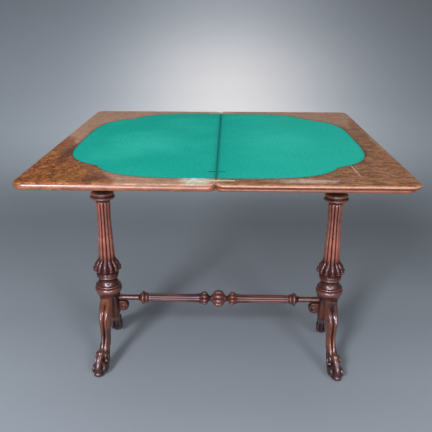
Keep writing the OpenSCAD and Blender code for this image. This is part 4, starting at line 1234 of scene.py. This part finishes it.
def build_box():
    rails, ends = (
        walnut_material(name, along, (0.12, 0.045, 0.024), (0.26, 0.11, 0.06), gloss=0.38, glow=0.3)
        for name, along in (("Walnut, rails", "X"), ("Walnut, end rails", "Y")))
    pine = pine_material()
    for end in ENDS:
        stand_in(eased_copy(f"frame_{end}_rail", f"{end}_rail", 0.001, rails), f"frame_{end}_rail")
    for node, name in (("frame_end_rail", "end_rail"), ("bearer", "bearer")):
        for side in SIDES:
            stand_in(eased_copy(f"{node}_{side}", f"{side}_{name}", 0.001, ends), f"{node}_{side}")
    stand_in(eased_copy("corner_blocks", "glue_blocks", 0.001, pine), "corner_blocks")
    dress(pine, "pivot_rail", "well_bottom_board")


# Stage

def soft_lamp(name, spot, aim, size, strength, tone):
    data = bpy.data.lights.new(name, "AREA")
    data.shape, data.size, data.size_y = "RECTANGLE", *size
    data.energy, data.color = strength, tone
    lamp = new_object(name, data)
    lamp.location = spot
    lamp.visible_camera = False
    lamp.rotation_euler = (Vector(aim) - Vector(spot)).to_track_quat("-Z", "Y").to_euler()
    return data


# The sweep of floor and backdrop, measured in metres from the middle of the table, back and then up
SWEEP_START, SWEEP_END = -0.6, 6.0
# Painted light and shade along the sweep: painted shade behind the table, painted light rising up the
# backdrop and fading towards its top; then a painted pool of light on the backdrop
SWEEP_LIGHT_AND_SHADE = ((-0.6, 0.335), (-0.15, 0.31), (0.2, 0.25), (1.2, 0.225), (1.6, 0.265), (2.3, 0.39),
              (3.0, 0.49), (3.6, 0.38), (4.1, 0.31), (4.8, 0.25), (5.6, 0.185), (6.0, 0.16))
PAINTED_LIGHT_POOL = ((-0.6, 0), (1.9, 0), (3.0, 0.32), (3.8, 0.43), (4.4, 0.41), (4.8, 0.35), (5.4, 0.2),
              (6.0, 0.1))


def tone_ramp(along, middle, stops):
    """How many times the middle tone the colour is at each place along the sweep."""
    node = add(along.tree, "ShaderNodeValToRGB", {"Fac": along})
    ramp = node.color_ramp
    while len(ramp.elements) < len(stops):
        ramp.elements.new(0.5)
    for element, (at, value) in zip(ramp.elements, stops):
        element.position = (at - SWEEP_START) / (SWEEP_END - SWEEP_START)
        element.color = (value, value, value, 1)
    return Wire(node.outputs[0]) / middle


def sweep_material(look):
    """Tone by the way along the sweep, paler in a pool behind the table."""
    made, shader, at = new_material("Floor")
    x, y, z = split(at)
    along = remap(y + z, SWEEP_START, SWEEP_END, smooth=False)
    # The first is painted light and shade along the sweep, the second a painted pool of light
    even, pool = (tone_ramp(along, look.floor[1], stops) for stops in (SWEEP_LIGHT_AND_SHADE, PAINTED_LIGHT_POOL))
    off = (x - 0.05) / look.pool_width
    light_pool_shape = maths("EXPONENT", off * off * -1)
    # Painted light and shade, with painted shade towards the right
    painted_light_and_shade = (even + pool * light_pool_shape) * remap(x, -2.2, 2.2, 1.07, 0.78, False)
    tint = layers(look.floor, (light_pool_shape * remap(pool, 0, 1.5), [look.floor[1]] * 3),
                  (remap(noise(at, 1.5), 0.3, 0.7, 0, 0.05), (0.36, 0.38, 0.4)))
    finish_shader(shader, noise(at, 900.0, 2.0), 0.00005,
                  {"Base Color": scaled(tint, painted_light_and_shade), "Roughness": 0.85})
    return made


def set_camera(look):
    """Camera at the photograph's place, in metres, with pitch, turn and tilt in radians."""
    spot = (0.0263216, -1.6488377, 1.0854626)
    pitch, turn, tilt = 0.351377, 0.021218, -0.003358
    ahead = Vector((-math.sin(turn) * math.cos(pitch), math.cos(turn) * math.cos(pitch),
                    -math.sin(pitch)))
    level = Vector((math.cos(turn), math.sin(turn), 0))
    down = level.cross(ahead) if ahead.cross(level).z > 0 else ahead.cross(level)
    across = math.cos(tilt) * level + math.sin(tilt) * down
    below = -math.sin(tilt) * level + math.cos(tilt) * down
    data = bpy.data.cameras.new("Camera")
    data.sensor_width, data.sensor_fit, data.lens = 36, "HORIZONTAL", look.lens
    camera = new_object("Camera", data)
    camera.matrix_world = move(*spot) @ Matrix((across, -below, -ahead)).transposed().to_4x4()
    bpy.context.scene.camera = camera


def build_stage():
    look = bpy.context.scene.card_table_stage
    # Floor swept up into a backdrop behind the table
    floor_end, bend = 3.0, 1.6
    line = [(-60.0, 0), (floor_end, 0)]
    line += [(floor_end + bend * math.sin(a), bend - bend * math.cos(a))
             for a in np.linspace(0, math.pi / 2, 17)[1:]]
    line.append((floor_end + bend, 9.0))
    count = len(line)
    mesh = mesh_from("floor", [(x, y, z) for x in (-40.0, 40.0) for y, z in line],
                     [(i, i + count, i + count + 1, i + 1) for i in range(count - 1)])
    floor = new_piece("floor", mesh, sweep_material(look))
    world = bpy.data.worlds.new("Studio")
    bpy.context.scene.world = world
    world.use_nodes = True
    tree = world.node_tree
    tree.nodes.clear()
    room = put("ShaderNodeBackground", {"Color": (0.94, 0.96, 1), "Strength": look.sky}, tree=tree)
    add(tree, "ShaderNodeOutputWorld", {"Surface": room})
    for lamp in (("Key", (-2.1, -4.9, 3.4), (0, 0, 0.45), (1.1, 1.5), look.key, (0.96, 0.95, 1)),
                 ("Second", (2.4, -4.4, 3.3), (0, 0, 0.45), (1.3, 1.3), look.second, (0.95, 0.95, 1)),
                 ("Low front", (-0.1, -4.75, 0.8), (0, 0, 0.4), (2.6, 1.1), look.front, (1, 0.95, 1)),
                 ("Overhead", (0, -0.3, 3.4), (0, 0, 0.5), (2.6, 2.0), look.fill, (1, 0.98, 0.96))):
        soft_lamp(*lamp)
    back = soft_lamp("Backdrop lamp", (0.1, 1.9, 3.6), (0.1, 3.8, 0.1), (1.6, 0.6), look.back,
                     (1, 0.96, 0.92))
    back.spread = math.radians(80)
    set_camera(look)
    bpy.context.scene.view_settings.view_transform = "Standard"


# Operators and panel

def new_operator(label, doc, work):
    def execute(self, context):
        work()
        return {"FINISHED"}
    key = label.lower()
    return type("CARDTABLE_OT_" + key, (bpy.types.Operator,), {
        "bl_idname": "card_table." + key, "bl_label": label, "bl_options": {"REGISTER"},
        "__doc__": doc, "execute": execute})


OPERATORS = [new_operator(*row) for row in (
    ("Stage", "Makes the floor, the lamps and the camera", build_stage),
    ("Top", "Finishes the two leaves in burr walnut", build_top),
    ("Baize", "Lays the cloth on the two leaves", lay_baize),
    ("Hinges", "Finishes the brass hinges and drives their screws", build_hinges),
    ("Box", "Finishes the rails, bearers and well under the top", build_box),
    ("Swivel", "Finishes the iron swivel and drives the screws", build_swivel),
    ("Columns", "Turns and reeds the two columns", carve_columns),
    ("Stretcher", "Turns the stretcher and its ball", carve_stretcher),
    ("Legs", "Carves the four scroll legs", carve_legs),
    ("Blocks", "Finishes the base blocks and carves their brackets", build_blocks))]
GROUPS = {"card_table_top": CardTableTop, "card_table_stand": CardTableStand,
          "card_table_stage": CardTableStage}


class CARDTABLE_PT_panel(bpy.types.Panel):
    """Lists the table's pieces"""
    bl_idname = "CARDTABLE_PT_panel"
    bl_label = "Card table"
    bl_space_type = "VIEW_3D"
    bl_region_type = "UI"
    bl_category = "Card table"

    def draw(self, context):
        for operator in OPERATORS:
            self.layout.operator(operator.bl_idname)
        for group in (getattr(context.scene, name) for name in GROUPS):
            box = self.layout.box()
            for key in group.bl_rna.properties.keys():
                if key not in ("rna_type", "name"):
                    box.prop(group, key)


CLASSES = [*GROUPS.values(), *OPERATORS, CARDTABLE_PT_panel]


def register():
    for item in CLASSES:
        bpy.utils.register_class(item)
    for name, group in GROUPS.items():
        setattr(bpy.types.Scene, name, PointerProperty(type=group))


def unregister():
    for name in GROUPS:
        delattr(bpy.types.Scene, name)
    for item in reversed(CLASSES):
        bpy.utils.unregister_class(item)


def main():
    register()
    build_groups()
    reeding_tree()
    screw_tree()
    for operator in OPERATORS:
        area, key = operator.bl_idname.split(".")
        getattr(getattr(bpy.ops, area), key)()


if __name__ == "__main__":
    main()
